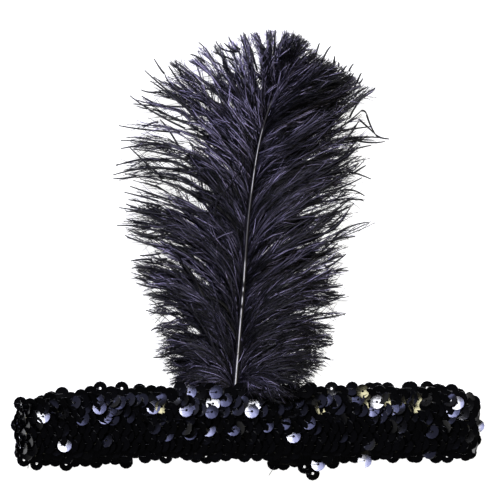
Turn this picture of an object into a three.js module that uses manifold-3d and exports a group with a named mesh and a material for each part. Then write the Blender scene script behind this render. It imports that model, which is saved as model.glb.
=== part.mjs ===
// Flapper headband: strings of sequins on a stretch knit strip, lapped into a loop at the back,
// with an ostrich plume tucked behind the front. It lies collapsed on a flat surface.
// Millimetres, +Z up. The origin is on that surface, under the middle of the band. +X runs along
// the band and +Y towards the tip of the plume.
import * as THREE from 'three';
import Module from 'manifold-3d';

const wasm = await Module();
wasm.setup();

// Driving dimensions of the band
const BAND_LENGTH = 195; // over both folds
const BAND_WIDTH = 31; // over the sequins at its long edges
const SEQUIN_ROWS = 5;
const SEQUIN_DEPTH = 2.1; // of a string of tilted sequins
const SEQUIN_VALLEY = 1.0; // the same between two strings
const SEQUIN_DIP = 0.7; // between two sequins of a string, under their crowns
const SEQUIN_CROWN_START = 0.25; // share of a row's width before its crown
const SEQUIN_PRESSED = 0.8; // how far the weight of the band flattens the ones underneath
const SCALLOP = 0.5; // in and out, along the band's long edges
const KNIT_WIDTH = 27;
const KNIT_SPANS = 3; // flat faces across it
const KNIT_THICKNESS = 1.2;
const SLOT = 8.8; // clear height between the two layers, where the head goes in
const FRONT_SAG = 0.6; // of the front layer, at its middle
const SEAM_X = 8.6; // where the strip's upper end is cut, underneath
const LAP = 15; // of the strip's other end over it
const LAP_RAMP = 5.6; // in which that end climbs on to the lap
const GAP = 0.3; // between pieces that touch

// How the strip lies, from its cut end at the seam round to its lapped end: a row for each place,
// with the share of the strip's length, its shift in Y, how far its long edges curl inwards and
// the share of its width that is left where a fold bunches it.
const LIE = [
  { along: 0.0, shift: -4.6, curl: 0.1, width: 1.0 },
  { along: 0.055, shift: -5.0, curl: 0.1, width: 1.0 },
  { along: 0.105, shift: -0.6, curl: 0.1, width: 1.0 },
  { along: 0.18, shift: 0.0, curl: 0.1, width: 1.0 },
  { along: 0.205, shift: -0.4, curl: 1.0, width: 0.9 },
  { along: 0.22, shift: -0.8, curl: 1.6, width: 0.7 },
  { along: 0.236, shift: -0.4, curl: 2.2, width: 0.9 },
  { along: 0.26, shift: 0.2, curl: 2.4, width: 1.0 },
  { along: 0.3, shift: 0.4, curl: 2.4, width: 1.0 },
  { along: 0.47, shift: -0.2, curl: 2.4, width: 1.0 },
  { along: 0.615, shift: 0.3, curl: 2.4, width: 1.0 },
  { along: 0.66, shift: -1.2, curl: 2.4, width: 0.93 },
  { along: 0.685, shift: -2.6, curl: 2.2, width: 0.88 },
  { along: 0.7, shift: -3.0, curl: 1.6, width: 0.7 },
  { along: 0.718, shift: -3.8, curl: 1.0, width: 0.9 },
  { along: 0.75, shift: -3.8, curl: 0.1, width: 1.0 },
  { along: 0.8, shift: -3.8, curl: 0.1, width: 1.0 },
  { along: 0.84, shift: -0.4, curl: 0.1, width: 1.0 },
  { along: 1.0, shift: 0.0, curl: 0.1, width: 1.0 },
];

// Driving dimensions of the plume: the quill's rows run from its hidden end to its curled tip
const QUILL = [
  { x: -7, y: -9, z: 8.5, radius: 1.2 },
  { x: -5.2, y: 14.5, z: 7.5, radius: 1.2 },
  { x: -1.9, y: 55, z: 6.6, radius: 1.0 },
  { x: 1.4, y: 95, z: 7.0, radius: 0.8 },
  { x: 6.6, y: 124, z: 9.5, radius: 0.65 },
  { x: 12.2, y: 139, z: 14, radius: 0.5 },
  { x: 17.9, y: 146.5, z: 20, radius: 0.4 },
];
const QUILL_SIDES = 8;
const QUILL_STEPS = 28;
const VANE_START = 0.17; // share of the quill that the band hides
const VANE_END = 0.98; // share of it where the last locks leave
const LOCKS = 15; // on each side of the quill
const LOCK_TAPER = 0.18; // how much narrower the locks at the curled tip are
const LOCK_TAPER_START = 0.7; // share of the vane where that begins
const LOCK_BEND = 0.45; // share of a lock's length where it bends
const LOCK_LEAN = 0.36; // how far it follows the quill before it bends away
const LOCK_ARCH = 3; // how far its middle stands up
const LOCK_STEPS = 5;
const LENS_CORNERS = 6; // of a lock's or web's section
const WEB_STEPS = 24;
const WEB_WIDTH = 4.4;
const WEB_DEPTH = 3.2;

// A lock's width and depth from its root on the web to its end
const LOCK_SIZES = [
  { along: 0.0, width: 3.0, depth: 2.4 },
  { along: 0.25, width: 9.5, depth: 5.5 },
  { along: 0.6, width: 14.5, depth: 6.5 },
  { along: 0.85, width: 12.0, depth: 4.5 },
  { along: 1.0, width: 2.5, depth: 1.4 },
];

// The plume's outline: where the locks end, a row for each place along the vane
const LEFT_ENDS = [
  { along: 0.0, x: -31, y: 18, z: 1.2 },
  { along: 0.1, x: -41, y: 31, z: 0.8 },
  { along: 0.22, x: -46.5, y: 53.6, z: 0.8 },
  { along: 0.34, x: -54, y: 80, z: 0.8 },
  { along: 0.46, x: -57, y: 97, z: 0.8 },
  { along: 0.58, x: -56, y: 116, z: 0.8 },
  { along: 0.7, x: -51, y: 138, z: 1.5 },
  { along: 0.8, x: -38, y: 150, z: 4 },
  { along: 0.88, x: -19, y: 159, z: 8 },
  { along: 0.94, x: 0, y: 162.5, z: 13 },
  { along: 1.0, x: 18, y: 162.5, z: 22 },
];
const RIGHT_ENDS = [
  { along: 0.0, x: 25, y: 17.5, z: 1.2 },
  { along: 0.1, x: 35, y: 31, z: 0.8 },
  { along: 0.22, x: 38, y: 44, z: 0.8 },
  { along: 0.34, x: 41, y: 58, z: 0.8 },
  { along: 0.46, x: 42.4, y: 73, z: 0.8 },
  { along: 0.58, x: 50.5, y: 88, z: 0.8 },
  { along: 0.7, x: 52, y: 104, z: 1.5 },
  { along: 0.8, x: 58.5, y: 119, z: 3 },
  { along: 0.88, x: 55, y: 131, z: 7 },
  { along: 0.94, x: 48, y: 143, z: 12 },
  { along: 1.0, x: 35, y: 153, z: 18 },
];

// Sizes that follow from those
const KNIT_HALF = KNIT_THICKNESS / 2;
const FIELD_INSIDE = KNIT_HALF + GAP;
const FIELD_OUTSIDE = FIELD_INSIDE + SEQUIN_DEPTH;
const BACK_Z = FIELD_OUTSIDE - SEQUIN_PRESSED;
const FRONT_Z = BACK_Z + KNIT_THICKNESS + SLOT;
const FOLD_RADIUS = (FRONT_Z - BACK_Z) / 2;
const FOLD_X = BAND_LENGTH / 2 - FIELD_OUTSIDE - FOLD_RADIUS;
const LAP_Z = BACK_Z + KNIT_THICKNESS + GAP;

/** The value of one column of a table at a place along it, eased between its rows. */
function lookUp(table, column, along) {
  const next = table.findIndex((row) => row.along >= along);
  if (next <= 0) {
    return table.at(next)[column];
  }
  const from = table[next - 1];
  const to = table[next];
  const share = THREE.MathUtils.smoothstep(along, from.along, to.along);
  return THREE.MathUtils.lerp(from[column], to[column], share);
}

/** Triangles over a flat outline, turned the way the outline runs. */
function capTriangles(outline) {
  const way = Math.sign(THREE.ShapeUtils.area(outline));
  return THREE.ShapeUtils.triangulateShape(outline, []).map(([a, b, c]) => {
    const turned = Math.sign(THREE.ShapeUtils.area([outline[a], outline[b], outline[c]]));
    return turned === way ? [a, b, c] : [a, c, b];
  });
}

/** A closed solid through rings of points that run anticlockwise about the way the rings go. */
function loft(rings, outlines) {
  const count = rings[0].length;
  const positions = rings.flat().flatMap((point) => point.toArray());
  const triangles = [];
  for (let ring = 0; ring + 1 < rings.length; ring += 1) {
    for (let side = 0; side < count; side += 1) {
      const a = ring * count + side;
      const b = ring * count + ((side + 1) % count);
      triangles.push(a, b, b + count, a, b + count, a + count);
    }
  }
  const last = (rings.length - 1) * count;
  for (const [a, b, c] of capTriangles(outlines[0])) {
    triangles.push(a, c, b);
  }
  for (const [a, b, c] of capTriangles(outlines.at(-1))) {
    triangles.push(last + a, last + b, last + c);
  }
  const geometry = new THREE.BufferGeometry();
  geometry.setAttribute('position', new THREE.Float32BufferAttribute(positions, 3));
  geometry.setIndex(triangles);
  return geometry;
}

/** Joins closed geometries into one body. */
function fuse(geometries) {
  const solids = geometries.map((geometry) => {
    const vertProperties = new Float32Array(geometry.attributes.position.array);
    const triVerts = new Uint32Array(geometry.index.array);
    return new wasm.Manifold(new wasm.Mesh({ numProp: 3, vertProperties, triVerts }));
  });
  const whole = solids.reduce((sum, solid) => sum.add(solid)).getMesh();
  const fused = new THREE.BufferGeometry();
  fused.setAttribute('position', new THREE.Float32BufferAttribute(whole.vertProperties, 3));
  fused.setIndex(Array.from(whole.triVerts));
  return fused;
}

/** A straight run of the strip's path, seen along +Y with X across and Z up. */
function straightRun(fromX, fromZ, toX, toZ) {
  return new THREE.LineCurve(new THREE.Vector2(fromX, fromZ), new THREE.Vector2(toX, toZ));
}

/** Part of a fold of the strip's path, about a centre on the middle level. */
function foldRun(centreX, fromDegrees, toDegrees) {
  const centreZ = (BACK_Z + FRONT_Z) / 2;
  const [from, to] = [fromDegrees, toDegrees].map(THREE.MathUtils.degToRad);
  return new THREE.EllipseCurve(centreX, centreZ, FOLD_RADIUS, FOLD_RADIUS, from, to);
}

/** The strip's runs round the loop, each with its curve and its number of sections. */
function stripRuns() {
  const front = new THREE.QuadraticBezierCurve(
    new THREE.Vector2(FOLD_X, FRONT_Z),
    new THREE.Vector2(0, FRONT_Z - 2 * FRONT_SAG),
    new THREE.Vector2(-FOLD_X, FRONT_Z),
  );
  const rampX = SEAM_X - LAP_RAMP;
  const fieldGap = THREE.MathUtils.radToDeg(GAP / FOLD_RADIUS);
  return [
    { run: 'tail', steps: 22, curve: straightRun(SEAM_X, BACK_Z, FOLD_X, BACK_Z) },
    { run: 'right fold', steps: 8, curve: foldRun(FOLD_X, -90, 90) },
    { run: 'front', steps: 48, curve: front },
    { run: 'left fold', steps: 4, curve: foldRun(-FOLD_X, 90, 180) },
    { run: 'meeting', steps: 1, curve: foldRun(-FOLD_X, 180, 180 + fieldGap) },
    { run: 'under fold', steps: 4, curve: foldRun(-FOLD_X, 180 + fieldGap, 270) },
    { run: 'back', steps: 24, curve: straightRun(-FOLD_X, BACK_Z, rampX, BACK_Z) },
    { run: 'ramp', steps: 1, curve: straightRun(rampX, BACK_Z, SEAM_X, LAP_Z) },
    { run: 'lap', steps: 2, curve: straightRun(SEAM_X, LAP_Z, SEAM_X + LAP, LAP_Z) },
  ];
}

/** Places along the strip: where each is, which way is outwards, and its share of the length. */
function stripStations() {
  const runs = stripRuns();
  const whole = runs.reduce((sum, { curve }) => sum + curve.getLength(), 0);
  const stations = [];
  let before = 0;
  for (const { run, steps, curve } of runs) {
    const places = run === 'lap' ? steps + 1 : steps;
    for (let step = 0; step < places; step += 1) {
      const point = curve.getPointAt(step / steps);
      const tangent = curve.getTangentAt(step / steps);
      stations.push({
        run,
        centre: new THREE.Vector3(point.x, 0, point.y),
        outwards: new THREE.Vector3(tangent.y, 0, -tangent.x),
        along: (before + step / steps * curve.getLength()) / whole,
      });
    }
    before += curve.getLength();
  }
  return stations;
}

/** The stations from the start of one run to the start of another. */
function stretch(stations, fromRun, toRun) {
  const [from, to] = [fromRun, toRun].map((name) => stations.findIndex(({ run }) => run === name));
  return stations.slice(from, to + 1);
}

/** A section of the strip, bunched and with its long edges curled inwards as at a station. */
function curled(section, station) {
  const [curl, width] = ['curl', 'width'].map((column) => lookUp(LIE, column, station.along));
  return section.map(({ x, y }) => {
    const across = width * x;
    return new THREE.Vector2(across, y - curl * (2 * across / BAND_WIDTH) ** 2);
  });
}

/** The points of a section in space, none of them under the surface that the band lies on. */
function placed(section, station) {
  const shift = lookUp(LIE, 'shift', station.along);
  return section.map(({ x, y }) => {
    const point = station.centre.clone().addScaledVector(station.outwards, y);
    return new THREE.Vector3(point.x, x + shift, Math.max(point.z, 0));
  });
}

/** A strip of the band through some stations, from its section at each of them. */
function stripSolid(stations, sectionAt) {
  const sections = stations.map((station, index) => curled(sectionAt(index), station));
  return loft(sections.map((section, index) => placed(section, stations[index])), sections);
}

/** Points straight across the knit, from one edge to the other. */
function acrossKnit(out) {
  const points = [];
  for (let span = 0; span <= KNIT_SPANS; span += 1) {
    points.push(new THREE.Vector2((span / KNIT_SPANS - 0.5) * KNIT_WIDTH, out));
  }
  return points;
}

/** The knit's section: its outer face and then its inner one. */
function knitSection() {
  return [...acrossKnit(KNIT_HALF), ...acrossKnit(-KNIT_HALF).reverse()];
}

/** A section of the sequin strings: staggered crowns with valleys between the rows. */
function sequinSection(step) {
  const pitch = BAND_WIDTH / SEQUIN_ROWS;
  const edge = BAND_WIDTH / 2 + (step % 2 === 0 ? SCALLOP : -SCALLOP);
  const valley = FIELD_INSIDE + SEQUIN_VALLEY;
  const outer = [new THREE.Vector2(-edge, valley)];
  for (let row = 0; row < SEQUIN_ROWS; row += 1) {
    const start = -BAND_WIDTH / 2 + row * pitch;
    const crown = FIELD_OUTSIDE - ((step + row) % 2 === 0 ? 0 : SEQUIN_DIP);
    outer.push(new THREE.Vector2(start + SEQUIN_CROWN_START * pitch, crown));
    outer.push(new THREE.Vector2(start + (1 - SEQUIN_CROWN_START) * pitch, crown));
    outer.push(new THREE.Vector2(row + 1 === SEQUIN_ROWS ? edge : start + pitch, valley));
  }
  const inner = [-edge, edge].map((across) => new THREE.Vector2(across, FIELD_INSIDE));
  inner.splice(1, 0, ...acrossKnit(FIELD_INSIDE));
  return [...outer, ...inner.reverse()];
}

/** The quill's curve through its rows. */
function quillCurve() {
  return new THREE.CatmullRomCurve3(QUILL.map(({ x, y, z }) => new THREE.Vector3(x, y, z)));
}

/** A lens section, wide and deep, as flat points. */
function lensOutline(width, depth) {
  const outline = [];
  for (let corner = 0; corner < LENS_CORNERS; corner += 1) {
    const angle = corner / LENS_CORNERS * 2 * Math.PI;
    outline.push(new THREE.Vector2(Math.cos(angle) * width / 2, Math.sin(angle) * depth / 2));
  }
  return outline;
}

/** A ring of an outline round a point of a curve, its x kept level and to the left. */
function levelRing(centre, tangent, outline) {
  const up = new THREE.Vector3(0, 0, 1);
  const left = new THREE.Vector3().crossVectors(up, tangent).normalize();
  const above = new THREE.Vector3().crossVectors(tangent, left).normalize();
  return outline.map(({ x, y }) => {
    const point = centre.clone().addScaledVector(left, x).addScaledVector(above, y);
    point.z = Math.max(point.z, 0);
    return point;
  });
}

/** A solid along a curve, from a place on it to its end, with the outline that a function gives. */
function sweep(curve, steps, outlineAt, from = 0) {
  const rings = [];
  const outlines = [];
  for (let step = 0; step <= steps; step += 1) {
    const share = step / steps;
    const place = from + (1 - from) * share;
    const outline = outlineAt(share, place);
    rings.push(levelRing(curve.getPointAt(place), curve.getTangentAt(place), outline));
    outlines.push(outline);
  }
  return loft(rings, outlines);
}

/** The quill's radius at a share of its length. */
function quillRadius(share) {
  const place = share * (QUILL.length - 1);
  const row = Math.min(Math.floor(place), QUILL.length - 2);
  return THREE.MathUtils.lerp(QUILL[row].radius, QUILL[row + 1].radius, place - row);
}

/** The bare shaft. */
function quillGeometry() {
  return sweep(quillCurve(), QUILL_STEPS, (share) => {
    const circle = new THREE.EllipseCurve(0, 0, quillRadius(share), quillRadius(share));
    return circle.getPoints(QUILL_SIDES).slice(0, QUILL_SIDES);
  });
}

/** One lock of barbs, from the web beside the quill out to the plume's outline. */
function lockGeometry(side, ends, along) {
  const quill = quillCurve();
  const place = THREE.MathUtils.lerp(VANE_START, VANE_END, along);
  const tangent = quill.getTangentAt(place);
  const sideways = new THREE.Vector3(tangent.y, -tangent.x, 0).normalize();
  const start = quillRadius(place) + GAP + WEB_WIDTH / 2;
  const root = quill.getPointAt(place).addScaledVector(sideways, side * start);
  const [x, y, z] = ['x', 'y', 'z'].map((column) => lookUp(ends, column, along));
  const end = new THREE.Vector3(x, y, z);
  const bend = root.clone().lerp(end, LOCK_BEND);
  bend.addScaledVector(tangent, LOCK_LEAN * root.distanceTo(end));
  bend.z += LOCK_ARCH;
  const curve = new THREE.QuadraticBezierCurve3(root, bend, end);
  const size = 1 - LOCK_TAPER * THREE.MathUtils.smoothstep(along, LOCK_TAPER_START, 1);
  return sweep(curve, LOCK_STEPS, (share) => {
    const [width, depth] = ['width', 'depth'].map((column) => lookUp(LOCK_SIZES, column, share));
    return lensOutline(size * width, depth);
  });
}

/** One side of the vane: its web along the quill with the locks fused to it. */
function vaneGeometry(side, ends) {
  const web = sweep(quillCurve(), WEB_STEPS, (share, place) => {
    const middle = -side * (quillRadius(place) + GAP + WEB_WIDTH / 2);
    return lensOutline(WEB_WIDTH, WEB_DEPTH).map((point) => point.setX(point.x + middle));
  }, VANE_START);
  const locks = [];
  for (let lock = 0; lock < LOCKS; lock += 1) {
    locks.push(lockGeometry(side, ends, lock / (LOCKS - 1)));
  }
  return fuse([web, ...locks]);
}

const headband = new THREE.Group();

/** Adds a named piece with its finish to the headband. */
function addPiece(name, geometry, finish) {
  const piece = new THREE.Mesh(geometry, new THREE.MeshStandardMaterial(finish));
  piece.name = name;
  headband.add(piece);
}

const stations = stripStations();
const frontStations = stretch(stations, 'tail', 'meeting');
const backStations = stretch(stations, 'under fold', 'ramp');
const knitFinish = { color: 0x141416, roughness: 0.9, metalness: 0 };
const sequinFinish = { color: 0x0b0b10, roughness: 0.15, metalness: 0.3 };
const quillFinish = { color: 0x2a2724, roughness: 0.3, metalness: 0 };
const barbFinish = { color: 0x1c1a22, roughness: 0.8, metalness: 0 };

addPiece('knit_band', stripSolid(stations, knitSection), knitFinish);
addPiece('sequin_field_front', stripSolid(frontStations, sequinSection), sequinFinish);
addPiece('sequin_field_back', stripSolid(backStations, sequinSection), sequinFinish);
addPiece('quill', quillGeometry(), quillFinish);
addPiece('vane_left', vaneGeometry(-1, LEFT_ENDS), barbFinish);
addPiece('vane_right', vaneGeometry(1, RIGHT_ENDS), barbFinish);

export default headband;
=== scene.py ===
"""A black sequin headband with an ostrich plume, lying on a white studio table.

Lengths in the classes are millimetres in the part's own frame: +X along the band, +Y towards the
tip of the plume, +Z up out of the table. Meshes are made in metres.
"""

import logging
import math
from dataclasses import dataclass, field
from enum import Enum, IntEnum

import bpy
import numpy as np
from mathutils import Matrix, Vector


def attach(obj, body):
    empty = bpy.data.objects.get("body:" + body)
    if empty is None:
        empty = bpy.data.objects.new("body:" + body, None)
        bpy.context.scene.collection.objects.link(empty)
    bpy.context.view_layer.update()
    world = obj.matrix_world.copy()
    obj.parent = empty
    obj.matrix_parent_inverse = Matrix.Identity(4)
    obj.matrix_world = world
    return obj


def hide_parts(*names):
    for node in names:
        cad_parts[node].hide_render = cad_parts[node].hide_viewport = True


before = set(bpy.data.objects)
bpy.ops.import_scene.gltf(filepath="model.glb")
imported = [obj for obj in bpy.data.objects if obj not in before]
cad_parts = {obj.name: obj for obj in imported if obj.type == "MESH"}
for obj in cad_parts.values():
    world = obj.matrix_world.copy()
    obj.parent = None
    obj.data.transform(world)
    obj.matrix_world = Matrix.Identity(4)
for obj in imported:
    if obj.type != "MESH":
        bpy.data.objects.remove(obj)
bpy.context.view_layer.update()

logging.basicConfig(level=logging.INFO, format="%(message)s")
log = logging.getLogger("headband")

MM = 0.001
SEED = 1926
TINY = 1e-6
UP = np.array([0.0, 0.0, 1.0])
# Tilted a little, so that a line straight up has a side too
NEARLY_UP = UP + 1e-4
# The corners of three-sided tubes
TRIANGLE = np.radians([90, 210, 330])
KERATIN_IOR = 1.54
Table = tuple[tuple[float, ...], ...]


# Small tools


def linear(code: str) -> tuple[float, float, float, float]:
    """Turns an sRGB hex colour into a linear one.

    Args:
        code: Six hex digits.

    Returns:
        Red, green, blue and alpha.
    """
    channels = [int(code[i : i + 2], 16) / 255 for i in (0, 2, 4)]
    linears = [c / 12.92 if c <= 0.04045 else ((c + 0.055) / 1.055) ** 2.4 for c in channels]
    return (*linears, 1.0)


def unit(vectors: np.ndarray) -> np.ndarray:
    """Gives vectors a length of one."""
    return vectors / np.maximum(np.linalg.norm(vectors, axis=-1, keepdims=True), 1e-12)


def eased(share: np.ndarray) -> np.ndarray:
    """Eases shares from 0 to 1 in and out."""
    clipped = np.clip(share, 0, 1)
    return clipped * clipped * (3 - 2 * clipped)


def look_up(table: Table, column: int, along: np.ndarray) -> np.ndarray:
    """Reads one column of a table at places along it, eased between its rows.

    Args:
        table: Rows that start with their place.
        column: The column's number.
        along: The places.

    Returns:
        The column's values there.
    """
    rows = np.array(table, float)
    places = np.clip(np.asarray(along, float), rows[0, 0], rows[-1, 0])
    after = np.clip(np.searchsorted(rows[:, 0], places), 1, len(rows) - 1)
    start, end = rows[after - 1], rows[after]
    share = eased((places - start[..., 0]) / (end[..., 0] - start[..., 0]))
    return start[..., column] + share * (end[..., column] - start[..., column])


def add_node(
    tree: bpy.types.NodeTree,
    kind: str,
    settings: dict[str, object] | None = None,
    inputs: dict[str | int, object] | None = None,
) -> bpy.types.Node:
    """Adds a node with its settings, and links or fills its inputs.

    Args:
        tree: The tree that it goes into.
        kind: Its type.
        settings: Its own properties.
        inputs: A socket to link from, or a value, for each input.

    Returns:
        The node.
    """
    node = tree.nodes.new(kind)
    for name, value in (settings or {}).items():
        setattr(node, name, value)
    for name, value in (inputs or {}).items():
        if isinstance(value, bpy.types.NodeSocket):
            tree.links.new(value, node.inputs[name])
        else:
            node.inputs[name].default_value = value
    return node


def blank_material(name: str) -> tuple[bpy.types.Material, bpy.types.NodeTree]:
    """Makes a material without nodes.

    Args:
        name: Its name.

    Returns:
        The material and its tree.
    """
    made = bpy.data.materials.new(name)
    made.use_nodes = True
    made.node_tree.nodes.clear()
    return made, made.node_tree


def blend(
    tree: bpy.types.NodeTree, share: bpy.types.NodeSocket, dark: str, light: str
) -> bpy.types.NodeSocket:
    """Mixes two colours.

    Args:
        tree: The tree that this goes into.
        share: The socket that gives the share of the light colour.
        dark: Six hex digits.
        light: Six hex digits.

    Returns:
        The mixed colour's socket.
    """
    mixed = add_node(tree, "ShaderNodeMix", {"data_type": "RGBA"}, {
        0: share, 6: linear(dark), 7: linear(light)})
    return mixed.outputs[2]


def add_surface(tree: bpy.types.NodeTree, inputs: dict[str, object]) -> None:
    """Ends a tree with a surface that has these inputs."""
    surface = add_node(tree, "ShaderNodeBsdfPrincipled", None, inputs)
    add_node(tree, "ShaderNodeOutputMaterial", None, {"Surface": surface.outputs["BSDF"]})


def move_points(mesh: bpy.types.Mesh, points: np.ndarray) -> None:
    """Sets a mesh's points, given in millimetres."""
    mesh.vertices.foreach_set("co", (points * MM).astype(np.float32).ravel())


def add_values(mesh: bpy.types.Mesh, name: str, values: np.ndarray) -> None:
    """Gives each point of a mesh a value, as a named attribute."""
    layer = mesh.attributes.new(name, "FLOAT", "POINT")
    layer.data.foreach_set("value", values.astype(np.float32))


def repeat_faces(
    faces: list[tuple[int, ...]] | np.ndarray, bodies: int, size: int, before: int = 0
) -> tuple[np.ndarray, np.ndarray]:
    """Repeats one body's faces for many of its form.

    Args:
        faces: The corners of its faces.
        bodies: How many bodies there are.
        size: How many points each has.
        before: How many points come before theirs.

    Returns:
        All faces' corners, one after the other, and how many each face has.
    """
    base = before + np.arange(bodies)[:, None] * size
    corners = np.concatenate([np.array(face) for face in faces])
    return (corners[None] + base).ravel(), np.tile([len(face) for face in faces], bodies)


def arc(start: np.ndarray, bend: np.ndarray, end: np.ndarray, t: np.ndarray) -> np.ndarray:
    """Points of curves with one bend, at shares of their length."""
    return (1 - t) ** 2 * start + 2 * t * (1 - t) * bend + t**2 * end


def mesh_from_arrays(
    name: str,
    points: np.ndarray,
    loops: np.ndarray,
    sizes: np.ndarray,
    values: dict[str, np.ndarray] | None = None,
) -> bpy.types.Object:
    """Makes one object of many small faces.

    Args:
        name: The piece's name.
        points: Points in millimetres.
        loops: The faces' corners, one after the other.
        sizes: How many corners each face has.
        values: A value for each point, by attribute name.

    Returns:
        The object, at the origin.
    """
    mesh = bpy.data.meshes.new(name)
    mesh.vertices.add(len(points))
    move_points(mesh, points)
    mesh.loops.add(len(loops))
    mesh.loops.foreach_set("vertex_index", loops.astype(np.int32).ravel())
    mesh.polygons.add(len(sizes))
    starts = np.concatenate([[0], np.cumsum(sizes)[:-1]]).astype(np.int32)
    mesh.polygons.foreach_set("loop_start", starts)
    mesh.update(calc_edges=True)
    for attribute, numbers in (values or {}).items():
        add_values(mesh, attribute, numbers)
    piece = bpy.data.objects.new(name, mesh)
    bpy.context.scene.collection.objects.link(piece)
    return piece


def only(piece: bpy.types.Object) -> None:
    """Makes a piece the only selected and the active one."""
    bpy.ops.object.select_all(action="DESELECT")
    piece.select_set(True)
    bpy.context.view_layer.objects.active = piece


def smooth(piece: bpy.types.Object, degrees: float) -> None:
    """Shades a piece smooth, apart from edges that are sharper than an angle."""
    only(piece)
    bpy.ops.object.shade_smooth_by_angle(angle=math.radians(degrees))


def settle(
    piece: bpy.types.Object,
    material: bpy.types.Material,
    replaces: str | None = None,
) -> bpy.types.Object:
    """Dresses a finished piece, fixes it to the part and reports it.

    Args:
        piece: The object, in place.
        material: Its finish.
        replaces: The solid that it stands for, if any.

    Returns:
        The piece.
    """
    piece.data.materials.clear()
    piece.data.materials.append(material)
    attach(piece, "root")
    if replaces:
        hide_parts(replaces)
    triangles = sum(len(face.vertices) - 2 for face in piece.data.polygons)
    log.info("%s: %d triangles", piece.name, triangles)
    return piece


# Finishes


@dataclass(frozen=True)
class SequinFinish:
    """Black PVC film, punched and pressed: a hard mirror gloss with a faint ring from the press."""

    colour: str = "010101"
    mottle: str = "030304"
    roughness: float = 0.16
    film_ior: float = 1.54
    ripple_mm: float = 1.6

    def material(self) -> bpy.types.Material:
        """Builds the finish: near black, each disc a little different, with a soft ripple."""
        made, tree = blank_material("pressed_pvc_film")
        disc = add_node(tree, "ShaderNodeAttribute", {"attribute_name": "disc"})
        tint = blend(tree, disc.outputs["Fac"], self.colour, self.mottle)
        place = add_node(tree, "ShaderNodeTexCoord")
        ripple = add_node(tree, "ShaderNodeTexNoise", None, {
            "Vector": place.outputs["Object"], "Scale": 1 / (self.ripple_mm * MM), "Detail": 1.0})
        bump = add_node(tree, "ShaderNodeBump", None, {
            "Strength": 0.12, "Distance": 0.0002, "Height": ripple.outputs["Fac"]})
        add_surface(tree, {
            "Base Color": tint, "Roughness": self.roughness, "IOR": self.film_ior,
            "Normal": bump.outputs["Normal"]})
        return made


@dataclass(frozen=True)
class KnitFinish:
    """Black elastane knit: dull, with fine ribs that run along the strip."""

    colour: str = "0b0b0d"
    lit: str = "19191d"
    rib_mm: float = 0.9
    loop_mm: float = 1.2
    rib_share: float = 0.35
    crest: float = 1.3

    def material(self) -> bpy.types.Material:
        """Builds the finish: ribs along the strip crossed by rows of loops, with a soft nap."""
        made, tree = blank_material("elastane_knit")
        place = add_node(tree, "ShaderNodeUVMap", {"uv_map": "strip"})
        split = add_node(tree, "ShaderNodeSeparateXYZ", None, {0: place.outputs["UV"]})
        ribs, loops = (
            add_node(tree, "ShaderNodeMath", {"operation": "SINE"}, {
                0: add_node(tree, "ShaderNodeMath", {"operation": "MULTIPLY"}, {
                    0: split.outputs[axis], 1: 2 * math.pi / spacing}).outputs[0]})
            for axis, spacing in (("Y", self.rib_mm), ("X", self.loop_mm)))
        height = add_node(tree, "ShaderNodeMath", {"operation": "MULTIPLY_ADD"}, {
            0: ribs.outputs[0], 1: self.rib_share, 2: loops.outputs[0]})
        share = add_node(tree, "ShaderNodeMapRange", None, {
            "Value": height.outputs[0], "From Min": -self.crest, "From Max": self.crest})
        # Painted highlight and shade: the crests of the ribs and loops are painted lighter, the hollows
        # darker
        tint = blend(tree, share.outputs[0], self.colour, self.lit)
        bump = add_node(tree, "ShaderNodeBump", None, {
            "Strength": 0.6, "Distance": 0.0003, "Height": share.outputs[0]})
        add_surface(tree, {
            "Base Color": tint, "Roughness": 0.85, "Sheen Weight": 0.25,
            "Normal": bump.outputs["Normal"]})
        return made


@dataclass(frozen=True)
class ThreadFinish:
    """Black polyester sewing thread: twisted filament with a silky gleam."""

    colour: str = "121216"
    # The wave texture turns by 20 radians a unit, and one radian of twist has this length
    twist_mm: float = 0.5
    wave_rate: float = 20.0

    def material(self) -> bpy.types.Material:
        """Builds the finish: dark filament whose twist shows as a fine stripe."""
        made, tree = blank_material("polyester_thread")
        place = add_node(tree, "ShaderNodeTexCoord")
        twist = add_node(tree, "ShaderNodeTexWave", None, {
            "Vector": place.outputs["Object"], "Scale": 1 / (self.twist_mm * MM * self.wave_rate)})
        bump = add_node(tree, "ShaderNodeBump", None, {
            "Strength": 0.3, "Distance": 0.0001, "Height": twist.outputs["Fac"]})
        add_surface(tree, {
            "Base Color": linear(self.colour), "Roughness": 0.35,
            "Normal": bump.outputs["Normal"]})
        return made


@dataclass(frozen=True)
class HornFinish:
    """Dyed quill horn: a dark waxy shaft, with a painted highlight along its raised ridge."""

    dyed: str = "121014"
    # The colour of the painted highlight on the ridge
    pale: str = "fbf9f8"
    fleck_mm: float = 2.5

    def material(self) -> bpy.types.Material:
        """Builds the finish: dark sides and a painted highlight along the ridge, broken by flecks."""
        made, tree = blank_material("dyed_quill_horn_painted_highlight")
        ridge_and_highlight = add_node(tree, "ShaderNodeAttribute", {"attribute_name": "ridge_and_highlight"})
        place = add_node(tree, "ShaderNodeTexCoord")
        fleck = add_node(tree, "ShaderNodeTexNoise", None, {
            "Vector": place.outputs["Object"], "Scale": 1 / (self.fleck_mm * MM)})
        mottle = add_node(tree, "ShaderNodeMapRange", None, {
            "Value": fleck.outputs["Fac"], "From Min": 0.3, "From Max": 0.5, "To Min": 0.75})
        # Painted highlight: the ridge is painted pale, and the flecks break it up
        share = add_node(tree, "ShaderNodeMath", {"operation": "MULTIPLY"}, {
            0: ridge_and_highlight.outputs["Fac"], 1: mottle.outputs[0]})
        tint = blend(tree, share.outputs[0], self.dyed, self.pale)
        add_surface(tree, {
            "Base Color": tint, "Roughness": 0.32, "IOR": KERATIN_IOR})
        return made


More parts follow.
